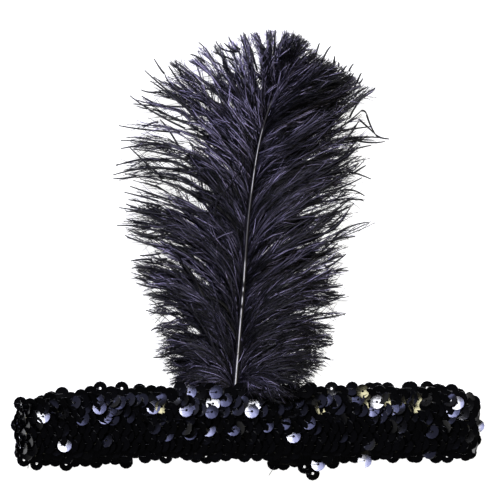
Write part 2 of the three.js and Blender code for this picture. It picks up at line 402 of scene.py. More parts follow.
@dataclass(frozen=True)
class BarbFinish:
    """Black-dyed ostrich barbs: soft and dark, some of them paler at random, with a silky blue gleam
    and painted sheen, shade and light in their colour.
    """

    dark: str = "040406"
    pale: str = "aca4ca"
    roughness: float = 0.42
    gleam: float = 0.18

    def material(self) -> bpy.types.Material:
        """Builds the finish: each barb has its own depth of dye, and the tone also carries painted
        sheen, shade and light.
        """
        made, tree = blank_material("dyed_ostrich_barbs_painted_light")
        tone = add_node(tree, "ShaderNodeAttribute", {"attribute_name": "tone"})
        tint = blend(tree, tone.outputs["Fac"], self.dark, self.pale)
        add_surface(tree, {
            "Base Color": tint, "Roughness": self.roughness, "IOR": KERATIN_IOR,
            "Specular IOR Level": self.gleam})
        return made


@dataclass(frozen=True)
class TableFinish:
    """White paper on a light table: plain and dull, and lit from below so that no shadow shows."""

    colour: str = "8c8c8c"
    glow: float = 1.02

    def material(self) -> bpy.types.Material:
        """Builds the finish of the table."""
        made = bpy.data.materials.new("white_paper")
        made.use_nodes = True
        paper = made.node_tree.nodes["Principled BSDF"]
        paper.inputs["Base Color"].default_value = linear(self.colour)
        paper.inputs["Roughness"].default_value = 0.9
        paper.inputs["Emission Color"].default_value = linear("ffffff")
        paper.inputs["Emission Strength"].default_value = self.glow
        return made


# The lights, which the turned sequins face too


class Lamp(Enum):
    """The studio's lights, each with the way to it from the middle of the band."""

    KEY = (-0.1, 0.64, 0.76)
    SKY = (-0.33, 0.64, 0.69)
    DUSK = (-0.52, 0.62, 0.59)
    HAZE = (-0.75, 0.45, 0.48)
    TUNGSTEN = (0.62, 0.3, 0.72)

    def way(self) -> np.ndarray:
        """The unit vector towards the light."""
        return unit(np.array(self.value, float))


# The band


@dataclass
class StripPath:
    """How the knit strip runs round the flattened loop and lies on the table."""

    band_length: float = 195.0
    band_width: float = 31.0
    knit_thickness: float = 1.2
    sequin_depth: float = 2.1
    pressed: float = 0.8
    slot: float = 8.8
    sag: float = 0.6
    seam_x: float = 8.6
    lap: float = 15.0
    ramp: float = 5.6
    gap: float = 0.3
    left_fold_share: float = 0.7
    turn_steps: int = 60
    front_steps: int = 200
    # Share of the strip's length, shift in Y, curl of the long edges and share of the width
    lie: Table = (
        (0.0, -4.6, 0.1, 1.0), (0.055, -5.0, 0.1, 1.0), (0.105, -0.6, 0.1, 1.0),
        (0.18, 0.0, 0.1, 1.0), (0.205, -0.4, 1.0, 0.9), (0.22, -0.8, 1.6, 0.7),
        (0.236, -0.4, 2.2, 0.9), (0.26, 0.2, 2.4, 1.0), (0.3, 0.4, 2.4, 1.0),
        (0.47, -0.2, 2.4, 1.0), (0.615, 0.3, 2.4, 1.0), (0.66, -1.2, 2.4, 0.93),
        (0.685, -2.6, 2.2, 0.88), (0.7, -3.0, 1.6, 0.7), (0.718, -3.8, 1.0, 0.9),
        (0.75, -3.8, 0.1, 1.0), (0.8, -3.8, 0.1, 1.0), (0.84, -0.4, 0.1, 1.0),
        (1.0, 0.0, 0.1, 1.0))

    def __post_init__(self) -> None:
        """Lays out the strip's line from its cut end to its lapped end."""
        outside = self.knit_thickness / 2 + self.gap + self.sequin_depth
        self.back_z = outside - self.pressed
        self.front_z = self.back_z + self.knit_thickness + self.slot
        radius = (self.front_z - self.back_z) / 2
        self.fold_x = self.band_length / 2 - outside - radius
        lap_z = self.back_z + self.knit_thickness + self.gap
        middle = (self.front_z + self.back_z) / 2
        turn = np.linspace(-math.pi / 2, math.pi / 2, self.turn_steps)
        across = np.linspace(self.fold_x, -self.fold_x, self.front_steps)
        front = self.front_z - self.sag * (1 - (across / self.fold_x) ** 2)
        line = [
            np.array([[self.seam_x, self.back_z]]),
            np.stack([self.fold_x + radius * np.cos(turn), middle + radius * np.sin(turn)], 1),
            np.stack([across, front], 1)[1:],
            np.stack([-self.fold_x - radius * np.cos(turn), middle - radius * np.sin(turn)], 1)[1:],
            np.array([[self.seam_x - self.ramp, self.back_z], [self.seam_x, lap_z],
                      [self.seam_x + self.lap, lap_z]]),
        ]
        self.line = np.concatenate(line)
        steps = np.linalg.norm(np.diff(self.line, axis=0), axis=1)
        self.runs = np.concatenate([[0], np.cumsum(steps)])
        self.length = float(self.runs[-1])
        self.left_fold = self.length * self.left_fold_share
        self.ramp_start = self.length - self.lap - math.hypot(self.ramp, lap_z - self.back_z)

    def _centre(self, run: np.ndarray) -> np.ndarray:
        """Points of the strip's middle line, as X and Z."""
        return np.stack([np.interp(run, self.runs, self.line[:, i]) for i in (0, 1)], -1)

    def _shift(self, run: np.ndarray) -> np.ndarray:
        """How far the strip lies to one side."""
        return look_up(self.lie, 1, run / self.length)

    def place(
        self, run: np.ndarray, across: np.ndarray, out: np.ndarray
    ) -> tuple[np.ndarray, np.ndarray, np.ndarray]:
        """Points on the strip, with the ways along and out of it.

        Args:
            run: Distances along the strip.
            across: Distances from its middle line.
            out: Distances out of the knit's middle.

        Returns:
            The points, the unit vectors along the strip and those out of it.
        """
        step = 0.6
        before, after = self._centre(run - step), self._centre(run + step)
        flat = unit(after - before)
        outwards = np.stack([flat[:, 1], np.zeros(len(run)), -flat[:, 0]], 1)
        curl = look_up(self.lie, 2, run / self.length)
        across = across * look_up(self.lie, 3, run / self.length)
        slope = 8 * curl * across / self.band_width**2
        drop = curl * (2 * across / self.band_width) ** 2
        centre = self._centre(run)
        points = np.stack([centre[:, 0], across + self._shift(run), centre[:, 1]], 1)
        points += outwards * (out - drop)[:, None]
        drift = (self._shift(run + step) - self._shift(run - step)) / (2 * step)
        along = unit(np.stack([flat[:, 0], drift, flat[:, 1]], 1))
        normal = unit(outwards + np.outer(slope, [0.0, 1.0, 0.0]))
        return points, unit(along - normal * np.sum(along * normal, 1, keepdims=True)), normal


@dataclass
class KnitBand:
    """The stretch knit strip that carries the sequins."""

    path: StripPath
    width: float = 27.0
    steps_along: int = 320
    steps_across: int = 14
    crease: float = 40.0

    def build(self, finish: KnitFinish) -> bpy.types.Object:
        """Makes the strip from a flat grid, laid round the loop and thickened.

        Args:
            finish: The knit.

        Returns:
            The piece.
        """
        bpy.ops.object.select_all(action="DESELECT")
        bpy.ops.mesh.primitive_grid_add(
            x_subdivisions=self.steps_along, y_subdivisions=self.steps_across, size=1)
        piece = bpy.context.object
        piece.name = piece.data.name = "knit_strip"
        flat = np.zeros(len(piece.data.vertices) * 3, np.float32)
        piece.data.vertices.foreach_get("co", flat)
        flat = flat.reshape(-1, 3).astype(float)
        run = (flat[:, 0] + 0.5) * self.path.length
        across = flat[:, 1] * self.width
        points = self.path.place(run, across, np.zeros(len(run)))[0]
        move_points(piece.data, points)
        strip = piece.data.uv_layers[0]
        strip.name = "strip"
        corners = np.zeros(len(piece.data.loops), np.int32)
        piece.data.loops.foreach_get("vertex_index", corners)
        strip.uv.foreach_set("vector", np.stack([run, across], 1)[corners].astype(np.float32).ravel())
        only(piece)
        wall = piece.modifiers.new("wall", "SOLIDIFY")
        wall.thickness = self.path.knit_thickness * MM
        wall.offset = 0
        bpy.ops.object.modifier_apply(modifier="wall")
        smooth(piece, self.crease)
        settle(piece, finish.material(), "knit_band")
        return piece


@dataclass
class SequinStrings:
    """The strings of overlapping sequins, and the stitches that hold them."""

    path: StripPath
    diameter: float = 6.0
    hole: float = 1.1
    film: float = 0.14
    cup: float = 0.1
    sides: int = 12
    crease: float = 35.0
    # Where a disc bends, as a share of its diameter, and the share of its cup there
    bend_at: float = 0.32
    bend_rise: float = 0.2
    rows: int = 8
    row_pitch: float = 3.75
    row_spread: float = 0.45
    pitch: float = 3.2
    pitch_spread: float = 0.35
    # Tilts along and across the strings, in degrees
    lean: float = 20.0
    lean_spread: float = 6.0
    roll_spread: float = 9.0
    roll_across: float = 1.5
    flatten: float = 0.6
    # The strings along the edges
    edge_pitch: float = 4.2
    edge_spread: float = 1.1
    edge_proud: float = 0.3
    edge_lean: float = 9.0
    edge_roll: float = 9.0
    # Sequins below this place across the strip have a share of the others' chance tilts
    calm_below: float = -2.0
    calm: float = 0.6
    # Sequins this near to the back layer's height lie pressed to a share of their tilts
    pressed_within: float = 1.0
    pressed: float = 0.3
    # Loosely sewn ones: their share, how far out in X they go, and their further tilts
    loose_share: float = 0.05
    loose_within: float = 88.0
    loose_lean: tuple[float, float] = (-35.0, 30.0)
    loose_roll: tuple[float, float] = (-30.0, 30.0)
    # How far the discs are from the knit, more on every second string and where they tilt
    seat: float = 0.3
    seat_step: float = 0.25
    lean_lift: float = 0.8
    roll_lift: float = 0.25
    # How strays tip away from a light, and how lower discs are passed over for the listed ones
    tip_away: float = 0.3
    top_depth: float = 4.0
    top_cost: float = 3.0
    # Least heights over the table
    clearance: float = 0.05
    stitch_clearance: float = 0.02
    # Where the front begins, and how far past the left fold it ends and the back begins
    first: float = 0.5
    front_past_fold: float = 4.0
    back_past_fold: float = 6.0
    thread: float = 0.22
    # A stitch's knots: along the string from the hole, and out of the disc
    knots: tuple[tuple[float, float], ...] = ((-0.1, -0.5), (0.12, 0.22), (1.6, 0.3), (3.15, 0.15))
    # Cut ends of thread, as shares of a stitch's thickness and of a round one
    end_thickness: float = 0.8
    end_flatness: float = 0.5
    # How far the strip turns its upper half from the light, in degrees, by X
    ripple: Table = (
        (-97.0, -14.0), (-72.0, -12.0), (-64.0, 0.0), (-50.0, -1.0), (-44.0, -11.0),
        (-38.0, -2.0), (-20.0, 0.0), (2.0, -1.0), (10.0, -10.0), (30.0, -12.0), (42.0, -7.0),
        (60.0, -6.0), (68.0, -12.0), (80.0, -12.0), (88.0, -6.0), (97.0, -10.0))
    # How near to mirroring a light the other sequins may face, as a cosine
    stray: dict[Lamp, float] = field(default_factory=lambda: {
        Lamp.KEY: 0.96, Lamp.SKY: 0.96, Lamp.TUNGSTEN: 0.9})
    # Sequins that are seen to catch a light: X, Y, the light and how far they stand up
    turned: tuple[tuple[float, float, Lamp, float], ...] = (
        (-85.4, 2.9, Lamp.KEY, 0.1), (-76.4, -9.2, Lamp.KEY, 0.6), (-14.4, 8.2, Lamp.KEY, 0.7),
        (2.9, 7.9, Lamp.KEY, 0.5), (1.9, 5.1, Lamp.SKY, 2.4), (54.1, 8.9, Lamp.KEY, 0.5),
        (-61.7, 6.6, Lamp.SKY, 0.4), (-25.5, 5.5, Lamp.SKY, 0.4), (-24.2, 12.9, Lamp.SKY, -0.2),
        (19.3, -5.4, Lamp.SKY, 1.1), (87.6, 8.4, Lamp.SKY, 0.2), (-16.1, -2.8, Lamp.SKY, -0.3),
        (49.1, -15.9, Lamp.SKY, 0.2), (-39.2, 6.6, Lamp.SKY, -0.2), (-68.7, 1.9, Lamp.DUSK, 0.3),
        (-59.5, 2.4, Lamp.SKY, 0.0), (-57.0, 5.5, Lamp.DUSK, 0.3), (-53.6, 8.6, Lamp.DUSK, 0.4),
        (-22.8, 8.2, Lamp.DUSK, 0.4), (-14.8, 4.9, Lamp.DUSK, 2.2), (-13.1, 12.9, Lamp.DUSK, 0.4),
        (-9.1, 9.6, Lamp.DUSK, 0.3), (-5.7, -2.5, Lamp.DUSK, 0.1), (-23.8, -4.2, Lamp.DUSK, 0.0),
        (-33.5, -4.8, Lamp.DUSK, 0.0), (52.5, 5.5, Lamp.DUSK, 0.2), (60.8, 6.2, Lamp.DUSK, 0.2),
        (86.0, 5.2, Lamp.DUSK, 0.0), (-35.9, 6.9, Lamp.TUNGSTEN, -0.3),
        (48.1, 13.4, Lamp.TUNGSTEN, 0.6), (50.4, 9.2, Lamp.TUNGSTEN, -0.1),
        (58.5, 9.6, Lamp.TUNGSTEN, -0.3), (66.5, 8.9, Lamp.TUNGSTEN, -0.5),
        (71.2, 9.9, Lamp.TUNGSTEN, -0.2), (69.8, 7.2, Lamp.TUNGSTEN, -0.3),
        (30.7, 6.6, Lamp.TUNGSTEN, -0.6), (8.2, -1.1, Lamp.DUSK, -0.2), (15.3, -0.1, Lamp.DUSK, -0.2),
        (25.7, 0.2, Lamp.DUSK, 0.0), (-59.0, -7.2, Lamp.HAZE, 0.2), (77.2, -3.5, Lamp.HAZE, 0.4),
        (76.2, -12.2, Lamp.HAZE, 0.4))
    # Sequins that hang loose at the band's edge: X, Y, Z and the way they face
    hanging: Table = (
        (27.5, -21.8, 3.2, 0.1, -0.05, 1.0), (29.7, -17.4, 9.9, -0.195, 0.379, 1.0),
        (96.6, -1.5, 8.0, -0.22, 0.383, 1.0), (-95.2, 8.0, 9.0, -0.1, 0.0, 1.0),
        (94.8, 8.6, 9.0, -0.1, 0.0, 1.0), (95.3, -7.2, 8.0, -0.1, -0.1, 1.0),
        (93.4, -12.6, 7.0, -0.1, -0.1, 1.0), (-96.6, -1.0, 8.0, -0.2, 0.1, 1.0),
        (-95.3, -12.9, 5.0, -0.1, 0.0, 1.0), (-94.2, -15.9, 4.5, -0.1, -0.1, 1.0),
        (-88.8, -17.5, 4.5, -0.3, 0.1, 1.0), (11.0, 13.2, 14.6, -0.1, 0.0, 1.0),
        (15.5, 13.4, 14.5, -0.1, 0.0, 1.0), (20.0, 13.2, 14.6, -0.1, 0.0, 1.0),
        (24.5, 13.4, 14.5, -0.1, 0.0, 1.0))
    # Cut ends of thread: X, Y, Z at each end
    thread_ends: Table = (
        (11.5, -18.8, 2.4, 9.0, -22.8, 1.0), (-92.2, -16.5, 3.0, -92.8, -19.8, 1.2))

    def __post_init__(self) -> None:
        """Seeds the strings' small irregularities."""
        self.chance = np.random.default_rng(SEED)

    def _model(self) -> tuple[np.ndarray, np.ndarray]:
        """Models one sequin at the origin.

        Returns:
            Its points in millimetres and its four-cornered faces.
        """
        bpy.ops.object.select_all(action="DESELECT")
        bpy.ops.mesh.primitive_circle_add(
            vertices=self.sides, radius=self.hole / 2, fill_type="NOTHING")
        disc = bpy.context.object
        bpy.ops.object.mode_set(mode="EDIT")
        bpy.ops.mesh.select_all(action="SELECT")
        middle = self.diameter * self.bend_at
        for radius, start, rise in (
            (middle, self.hole / 2, self.cup * self.bend_rise), (self.diameter / 2, middle, self.cup)):
            bpy.ops.mesh.extrude_edges_move(TRANSFORM_OT_translate={"value": (0, 0, rise)})
            bpy.ops.transform.resize(value=(radius / start, radius / start, 1))
        bpy.ops.mesh.select_all(action="SELECT")
        bpy.ops.mesh.normals_make_consistent(inside=False)
        bpy.ops.object.mode_set(mode="OBJECT")
        film = disc.modifiers.new("film", "SOLIDIFY")
        film.thickness = self.film
        film.offset = 0
        bpy.ops.object.modifier_apply(modifier="film")
        points = np.array([vertex.co for vertex in disc.data.vertices], float)
        faces = np.array([face.vertices[:] for face in disc.data.polygons], int)
        bpy.data.meshes.remove(disc.data)
        return points, faces

    def _lay(self, start: float, end: float) -> tuple[np.ndarray, np.ndarray, np.ndarray]:
        """Lays sequins along a stretch of the strip.

        Args:
            start: Where the stretch begins.
            end: Where it ends.

        Returns:
            The sequins' centres, their normals and the way of their strings.
        """
        runs, acrosses, rows = [], [], []
        for row in range(self.rows):
            edge = row in (0, self.rows - 1)
            count = int((end - start) / (self.edge_pitch if edge else self.pitch))
            spots = start + (np.arange(count) + 0.5 + 0.5 * (row % 2)) * (end - start) / (count + 0.5)
            runs.append(spots + self.chance.normal(0, self.pitch_spread, count))
            middle = (row - (self.rows - 1) / 2) * self.row_pitch
            ragged = self.chance.normal(0, self.edge_spread if edge else self.row_spread, count)
            if edge:
                proud = self.chance.random(count) < self.edge_proud
                ragged = -np.sign(middle) * np.where(proud, -self.edge_spread, np.abs(ragged))
            acrosses.append(middle + ragged)
            rows.append(np.full(count, row))
        run, across, row = (np.concatenate(x) for x in (runs, acrosses, rows))
        count = len(run)
        seat = self.path.place(run, across, np.zeros(count))[0]
        on_table = seat[:, 2] < self.path.back_z + self.pressed_within
        squeeze = np.where(on_table, self.pressed, 1.0)
        edge = (row == 0) | (row == self.rows - 1)
        calm = np.where(across < self.calm_below, self.calm, 1.0)
        lean = self.chance.normal(0, self.lean_spread, count) * calm
        lean = np.radians(lean + np.where(edge, self.edge_lean, self.lean)) * squeeze
        fan = np.where(across > 0, self.roll_across, -self.flatten) * across
        fan = fan + np.where(across > 0, look_up(self.ripple, 1, seat[:, 0]), 0)
        fan = np.where(edge, -self.edge_roll * np.sign(across), fan)
        roll = self.chance.normal(0, self.roll_spread, count) * calm + fan
        roll = np.radians(roll) * squeeze
        loose = (self.chance.random(count) < self.loose_share * calm**2) & ~edge
        loose &= np.abs(seat[:, 0]) < self.loose_within
        further = np.radians(self.chance.uniform(*self.loose_lean, count))
        lean = np.where(loose, lean + further, lean)
        further = np.radians(self.chance.uniform(*self.loose_roll, count))
        roll = np.where(loose, roll + further, roll)
        radius = self.diameter / 2
        out = self.path.knit_thickness / 2 + self.seat + self.seat_step * (row % 2)
        out = out + radius * self.lean_lift * np.abs(np.sin(lean))
        out = out + self.roll_lift * np.abs(np.sin(roll)) * radius
        centre, along, normal = self.path.place(run, across, out)
        side = np.cross(along, normal)
        face = unit(normal + along * np.tan(lean)[:, None] + side * np.tan(roll)[:, None])
        return centre, face, along

    def _turn(self, centre: np.ndarray, face: np.ndarray) -> None:
        """Tips strays away from the lights and seats the listed sequins to mirror one upwards.

        Args:
            centre: The sequins' centres, which change.
            face: Their normals, which change.
        """
        for lamp, limit in self.stray.items():
            mirror = 2 * face[:, 2:] * face - UP
            face[mirror @ lamp.way() > limit] -= (0, self.tip_away, 0)
        face[:] = unit(face)
        on_top = centre[:, 2] > self.path.front_z - self.top_depth
        cost = np.where(on_top, 0.0, self.top_cost)
        for x, y, lamp, rise in self.turned:
            apart = np.hypot(centre[:, 0] - x, centre[:, 1] - y) + cost
            nearest = int(np.argmin(apart))
            face[nearest] = unit(lamp.way() + UP)
            centre[nearest] = (x, y, centre[nearest, 2] + rise)
            cost[nearest] = np.inf

    @staticmethod
    def _axes(face: np.ndarray, along: np.ndarray) -> tuple[np.ndarray, np.ndarray]:
        """The ways along and across the strings, in the planes of their sequins."""
        first = unit(along - face * np.sum(along * face, 1, keepdims=True))
        return first, np.cross(face, first)

    def _copies(
        self, name: str, centre: np.ndarray, face: np.ndarray, along: np.ndarray
    ) -> bpy.types.Object:
        """Copies the modelled sequin to every place.

        Args:
            name: The piece's name.
            centre: The sequins' centres.
            face: Their normals.
            along: The way of their strings.

        Returns:
            One object with all of them.
        """
        points, faces = self._model()
        axes = np.stack([*self._axes(face, along), face], 1)
        spread = np.einsum("pk,nkc->npc", points, axes) + centre[:, None, :]
        under = np.minimum(spread[:, :, 2].min(1) - self.clearance, 0)
        spread[:, :, 2] -= under[:, None]
        loops, sizes = repeat_faces(faces, len(centre), len(points))
        disc = np.repeat(self.chance.random(len(centre)), len(points))
        piece = mesh_from_arrays(name, spread.reshape(-1, 3), loops, sizes, {"disc": disc})
        smooth(piece, self.crease)
        return piece

    def _stitches(
        self, name: str, centre: np.ndarray, face: np.ndarray, along: np.ndarray
    ) -> bpy.types.Object:
        """Sews each sequin down with a stitch from its hole over its covered half.

        Args:
            name: The piece's name.
            centre: The sequins' centres.
            face: Their normals.
            along: The way of their strings.

        Returns:
            One object with all the stitches.
        """
        first, second = self._axes(face, along)
        knots = len(self.knots)
        rings = []
        for reach, height in self.knots:
            middle = centre + first * reach + face * height
            for corner in TRIANGLE:
                offset = second * math.cos(corner) + face * math.sin(corner)
                rings.append(middle + offset * self.thread / 2)
        points = np.stack(rings, 1)
        if name.endswith("front"):
            ends = np.array(self.thread_ends)
            shares = np.repeat(np.linspace(0, 1, knots), len(TRIANGLE))[None, :, None]
            wisp = ends[:, None, :3] * (1 - shares) + ends[:, None, 3:] * shares
            ring = [(math.cos(c), math.sin(c) * self.end_flatness, math.sin(c)) for c in TRIANGLE]
            rings = np.tile(np.array(ring), (knots, 1))[None]
            wisp = wisp + rings * self.thread * self.end_thickness
            points = np.concatenate([points, wisp])
        points[:, :, 2] = np.maximum(points[:, :, 2], self.stitch_clearance)
        quads = [(3 * k + i, 3 * k + (i + 1) % 3, 3 * k + 3 + (i + 1) % 3, 3 * k + 3 + i)
                 for k in range(knots - 1) for i in range(3)]
        last = 3 * (knots - 1)
        faces = [*quads, (2, 1, 0), (last, last + 1, last + 2)]
        loops, sizes = repeat_faces(faces, *points.shape[:2])
        return mesh_from_arrays(name, points.reshape(-1, 3), loops, sizes)

    def build(self, film: SequinFinish, thread: ThreadFinish) -> None:
        """Makes the strings of both stretches, with their stitches.

        Args:
            film: The sequins' finish.
            thread: The stitches' finish.
        """
        film_material, thread_material = film.material(), thread.material()
        fold = self.path.left_fold
        stretches = {"front": (self.first, fold + self.front_past_fold),
                     "back": (fold + self.back_past_fold, self.path.ramp_start)}
        for side, (start, end) in stretches.items():
            centre, face, along = self._lay(start, end)
            if side == "front":
                self._turn(centre, face)
                loose = np.array(self.hanging)
                centre = np.concatenate([centre, loose[:, :3]])
                face = np.concatenate([face, unit(loose[:, 3:])])
                along = np.concatenate([along, np.tile([-1.0, 0.0, 0.0], (len(loose), 1))])
            discs = self._copies(f"sequins_{side}", centre, face, along)
            settle(discs, film_material, f"sequin_field_{side}")
            sewn = self._stitches(f"stitches_{side}", centre, face, along)
            settle(sewn, thread_material)


# The plume


@dataclass
class QuillLine:
    """The plume's shaft line, from its hidden end behind the band to its curled tip."""

    # X, Y, Z and radius
    rows: Table = (
        (-7.0, -9.0, 8.5, 1.2), (-5.2, 14.5, 7.5, 1.2), (-1.9, 55.0, 6.6, 1.0),
        (1.4, 95.0, 7.0, 0.8), (6.6, 124.0, 9.5, 0.65), (12.2, 139.0, 14.0, 0.5),
        (17.9, 146.5, 20.0, 0.4))
    samples: int = 400
    step: float = 0.004

    def __post_init__(self) -> None:
        """Draws a smooth line through the rows."""
        knots = np.array(self.rows)[:, :3]
        spans = np.linalg.norm(np.diff(knots, axis=0), axis=1)
        times = np.concatenate([[0], np.cumsum(spans)])
        slopes = np.gradient(knots, times, axis=0)
        fine = np.linspace(0, times[-1], self.samples)
        after = np.clip(np.searchsorted(times, fine), 1, len(times) - 1)
        span = (times[after] - times[after - 1])[:, None]
        share = (fine[:, None] - times[after - 1][:, None]) / span
        a, b = knots[after - 1], knots[after]
        va, vb = slopes[after - 1] * span, slopes[after] * span
        self.line = (
            a * (2 * share**3 - 3 * share**2 + 1) + va * (share**3 - 2 * share**2 + share)
            + b * (3 * share**2 - 2 * share**3) + vb * (share**3 - share**2))
        self.radii = np.interp(fine, times, np.array(self.rows)[:, 3])
        steps = np.linalg.norm(np.diff(self.line, axis=0), axis=1)
        self.places = np.concatenate([[0], np.cumsum(steps)]) / steps.sum()

    def at(self, place: np.ndarray) -> np.ndarray:
        """Points of the line at shares of its length."""
        return np.stack([np.interp(place, self.places, self.line[:, i]) for i in range(3)], -1)

    def way(self, place: np.ndarray) -> np.ndarray:
        """Unit vectors along the line at shares of its length."""
        return unit(self.at(place + self.step) - self.at(place - self.step))

    def radius(self, place: np.ndarray) -> np.ndarray:
        """The shaft's radius at shares of its length."""
        return np.interp(place, self.places, self.radii)


@dataclass
class Quill:
    """The bare shaft, with a raised ridge along its upper side that carries a painted highlight."""

    line: QuillLine
    sides: int = 36
    steps: int = 200
    ridge_rise: float = 0.22
    ridge_half_angle: float = 15.0
    crease: float = 60.0
    # The shaft's tip: where it begins, how long it is and how much thinner it gets, as shares
    tip_start: float = 0.94
    tip_length: float = 0.06
    tip_thinner: float = 0.5
    # Y, and how bright the painted highlight on the ridge is there
    pale: Table = (
        (10.0, 1.0), (47.0, 1.0), (48.2, 0.02), (49.2, 0.02), (50.2, 0.9), (52.4, 0.9),
        (53.4, 0.02), (54.6, 0.02), (55.6, 1.0), (56.4, 0.9), (57.2, 0.02), (58.4, 0.02),
        (59.6, 0.9), (66.0, 0.9), (69.0, 0.15), (95.0, 0.2), (99.0, 0.8), (122.0, 0.7),
        (124.0, 0.05), (130.0, 0.1), (133.0, 0.25), (136.0, 0.05))

    def build(self, finish: HornFinish) -> bpy.types.Object:
        """Extrudes a round shaft and lays it along the plume's line.

        Args:
            finish: The horn.

        Returns:
            The piece.
        """
        bpy.ops.object.select_all(action="DESELECT")
        bpy.ops.mesh.primitive_circle_add(
            vertices=self.sides, radius=1, fill_type="NGON", rotation=(math.pi / 2, 0, 0))
        piece = bpy.context.object
        piece.name = piece.data.name = "quill_shaft"
        bpy.ops.object.transform_apply(rotation=True)
        bpy.ops.object.mode_set(mode="EDIT")
        bpy.ops.mesh.select_all(action="SELECT")
        for _ in range(self.steps):
            bpy.ops.mesh.extrude_region_move(TRANSFORM_OT_translate={"value": (0, 1, 0)})
        bpy.ops.mesh.select_all(action="SELECT")
        bpy.ops.mesh.normals_make_consistent(inside=False)
        bpy.ops.object.mode_set(mode="OBJECT")
        raw = np.array([vertex.co for vertex in piece.data.vertices], float)
        place = raw[:, 1] / self.steps
        angle = np.arctan2(raw[:, 0], raw[:, 2])
        ridge_and_highlight = eased(1 - np.abs(np.degrees(angle)) / self.ridge_half_angle)
        way = self.line.way(place)
        right = unit(np.cross(way, UP))
        above = np.cross(right, way)
        tip = eased((place - self.tip_start) / self.tip_length)
        radius = self.line.radius(place) * (1 - self.tip_thinner * tip)
        reach = (1 + self.ridge_rise * ridge_and_highlight) * radius
        points = self.line.at(place) + reach[:, None] * (
            right * np.sin(angle)[:, None] + above * np.cos(angle)[:, None])
        move_points(piece.data, points)
        # The ridge's painted highlight, faded or broken where the pale table says
        add_values(piece.data, "ridge_and_highlight", ridge_and_highlight * look_up(self.pale, 1, points[:, 1]))
        smooth(piece, self.crease)
        return settle(piece, finish.material(), "quill")


class Side(Enum):
    """The two sides of the plume, as the sign of X."""

    LEFT = -1
    RIGHT = 1


class Col(IntEnum):
    """The columns of a plume side's table; angles are degrees from +Y towards the side."""

    ALONG = 0
    ROOT_Y = 1
    X = 2
    Y = 3
    Z = 4
    LEAVE = 5
    ARRIVE = 6
    BARBULE = 7
    BARBULE_END = 8
    REACH = 9
    CROWD = 10
    # The dye's tone, raised towards the tip as painted light where the barbs face away from the lamps
    TONE = 11


class Lock(IntEnum):
    """The columns of a table of locks: tip, middle, height of the root, spread and barbs."""

    X = 0
    Y = 1
    MID_X = 2
    MID_Y = 3
    ROOT_Y = 4
    SPREAD = 5
    BARBS = 6


@dataclass(frozen=True)
class Fuzz:
    """Short barbules near the ends of the barbs, in millimetres, degrees and shares."""

    spacing: float = 1.4
    width: float = 0.2
    angle: float = 34.0
    angle_spread: float = 14.0
    closing: float = 0.4
    start: float = 0.3
    flat: float = 0.7
    shortening: float = 1.5
    length_spread: tuple[float, float] = (0.6, 1.3)
    lowest: float = 0.05
    tone: float = 0.115


@dataclass(frozen=True)
class Hairs:
    """Long barbules that run beside a barb and slowly leave it, in millimetres and shares."""

    spacing: float = 3.4
    shortest: float = 5.0
    longest: float = 13.0
    last_start: float = 0.93
    width: float = 0.32
    thinner: float = 0.65
    apart: float = 2.3
    apart_power: float = 1.2
    beside: float = 0.3
    rise: float = -0.1
    rise_spread: float = 0.6
    lowest: float = 0.3
    steps: int = 3
    # Few of them are pale, and those have a painted gleam at one place along their length
    rare: float = 6.0
    least: float = 0.2
    palest: float = 2.6
    gleam_at: tuple[float, float] = (0.2, 0.8)
    gleam_width: float = 0.35
    dull: float = 0.4
    bright: float = 0.6


@dataclass(frozen=True)
class Ground:
    """Soft barbs that fill a side, and near ones that stand along the shaft.

    Values are millimetres, degrees and shares.
    """

    barbs: int = 360
    root_spread: float = 0.6
    end_spread: float = 0.35
    end_rise: float = 0.5
    crossing: float = 0.045
    leave_spread: float = 13.0
    arrive_spread: float = 20.0
    lift_spread: float = 2.0
    cut: tuple[float, float] = (0.72, 1.0)
    lowest: float = 0.6
    near: int = 60
    near_from: float = 55.0
    near_to: float = 125.0
    near_leave: float = 48.0
    near_leave_spread: float = 6.0
    near_turn: float = 8.0
    near_reach: tuple[float, float] = (0.12, 0.3)
    near_lift: float = 1.0
    tone_power: float = 1.6
    tone: float = 0.7
    tone_spread: tuple[float, float] = (0.7, 1.2)


@dataclass(frozen=True)
class Bundle:
    """How the barbs of a lock lie together, in millimetres and shares."""

    fullness: float = 1.8
    root_spread: float = 1.8
    lowest_root: float = 13.0
    # Locks with tips below this Y take their height from the row beside the tip
    low: float = 100.0
    arch: float = 0.7
    arch_spread: float = 1.5
    rise_over: float = 15.0
    fan: float = 0.6
    middle_fan: float = 1.4
    middle_spread: float = 0.8
    uneven: float = 1.8
    trimmed_uneven: float = 0.5
    shorter: float = 0.6
    # Y, and the share of a lock's length that its shortest barbs have there
    shortest: tuple[tuple[float, float], ...] = ((75.0, 0.92), (95.0, 0.8))
    wave: float = 0.6
    tone_power: float = 1.2
    tone_spread: tuple[float, float] = (0.5, 1.3)


@dataclass(frozen=True)
class Cover:
    """An even upper side of the vane, which the loose strands lie on."""

    lines: int = 120
    rise: float = 3.0
    arch: float = 2.0
    stretch: float = 1.05


@dataclass(frozen=True)
class Leaf:
    """Broad dark barbules under some of the ground's barbs, in millimetres and shares."""

    every: int = 2
    width: float = 2.8
    drop: float = 1.0
    foot: float = 0.6
    widening: float = 0.4
    widens_over: float = 0.1
    least: float = 0.06
    half_depth: float = 0.1
    narrowest: float = 0.1
    lowest: float = 0.25


@dataclass(frozen=True)
class Stem:
    """A barb's own stem: its width in millimetres, and its dye, with a painted gleam at one place."""

    width: float = 0.5
    end: float = 0.3
    lowest: float = 0.4
    least: float = 0.015
    tone: float = 0.21
    gleam_at: tuple[float, float] = (0.05, 0.85)
    gleam_width: tuple[float, float] = (0.08, 0.25)
    dull: float = 0.35
    bright: float = 0.65
    deep_share: float = 0.55
    deep: float = 0.03
    pale: float = 1.75


@dataclass(frozen=True)
class Strand:
    """A thick dark barb that lies loose on top, in millimetres and shares."""

    width: float = 1.0
    thinner: float = 0.5
    tone: float = 0.01
    barbule: float = 2.2
    barbule_end: float = 0.7
    barbule_tone: float = 0.5


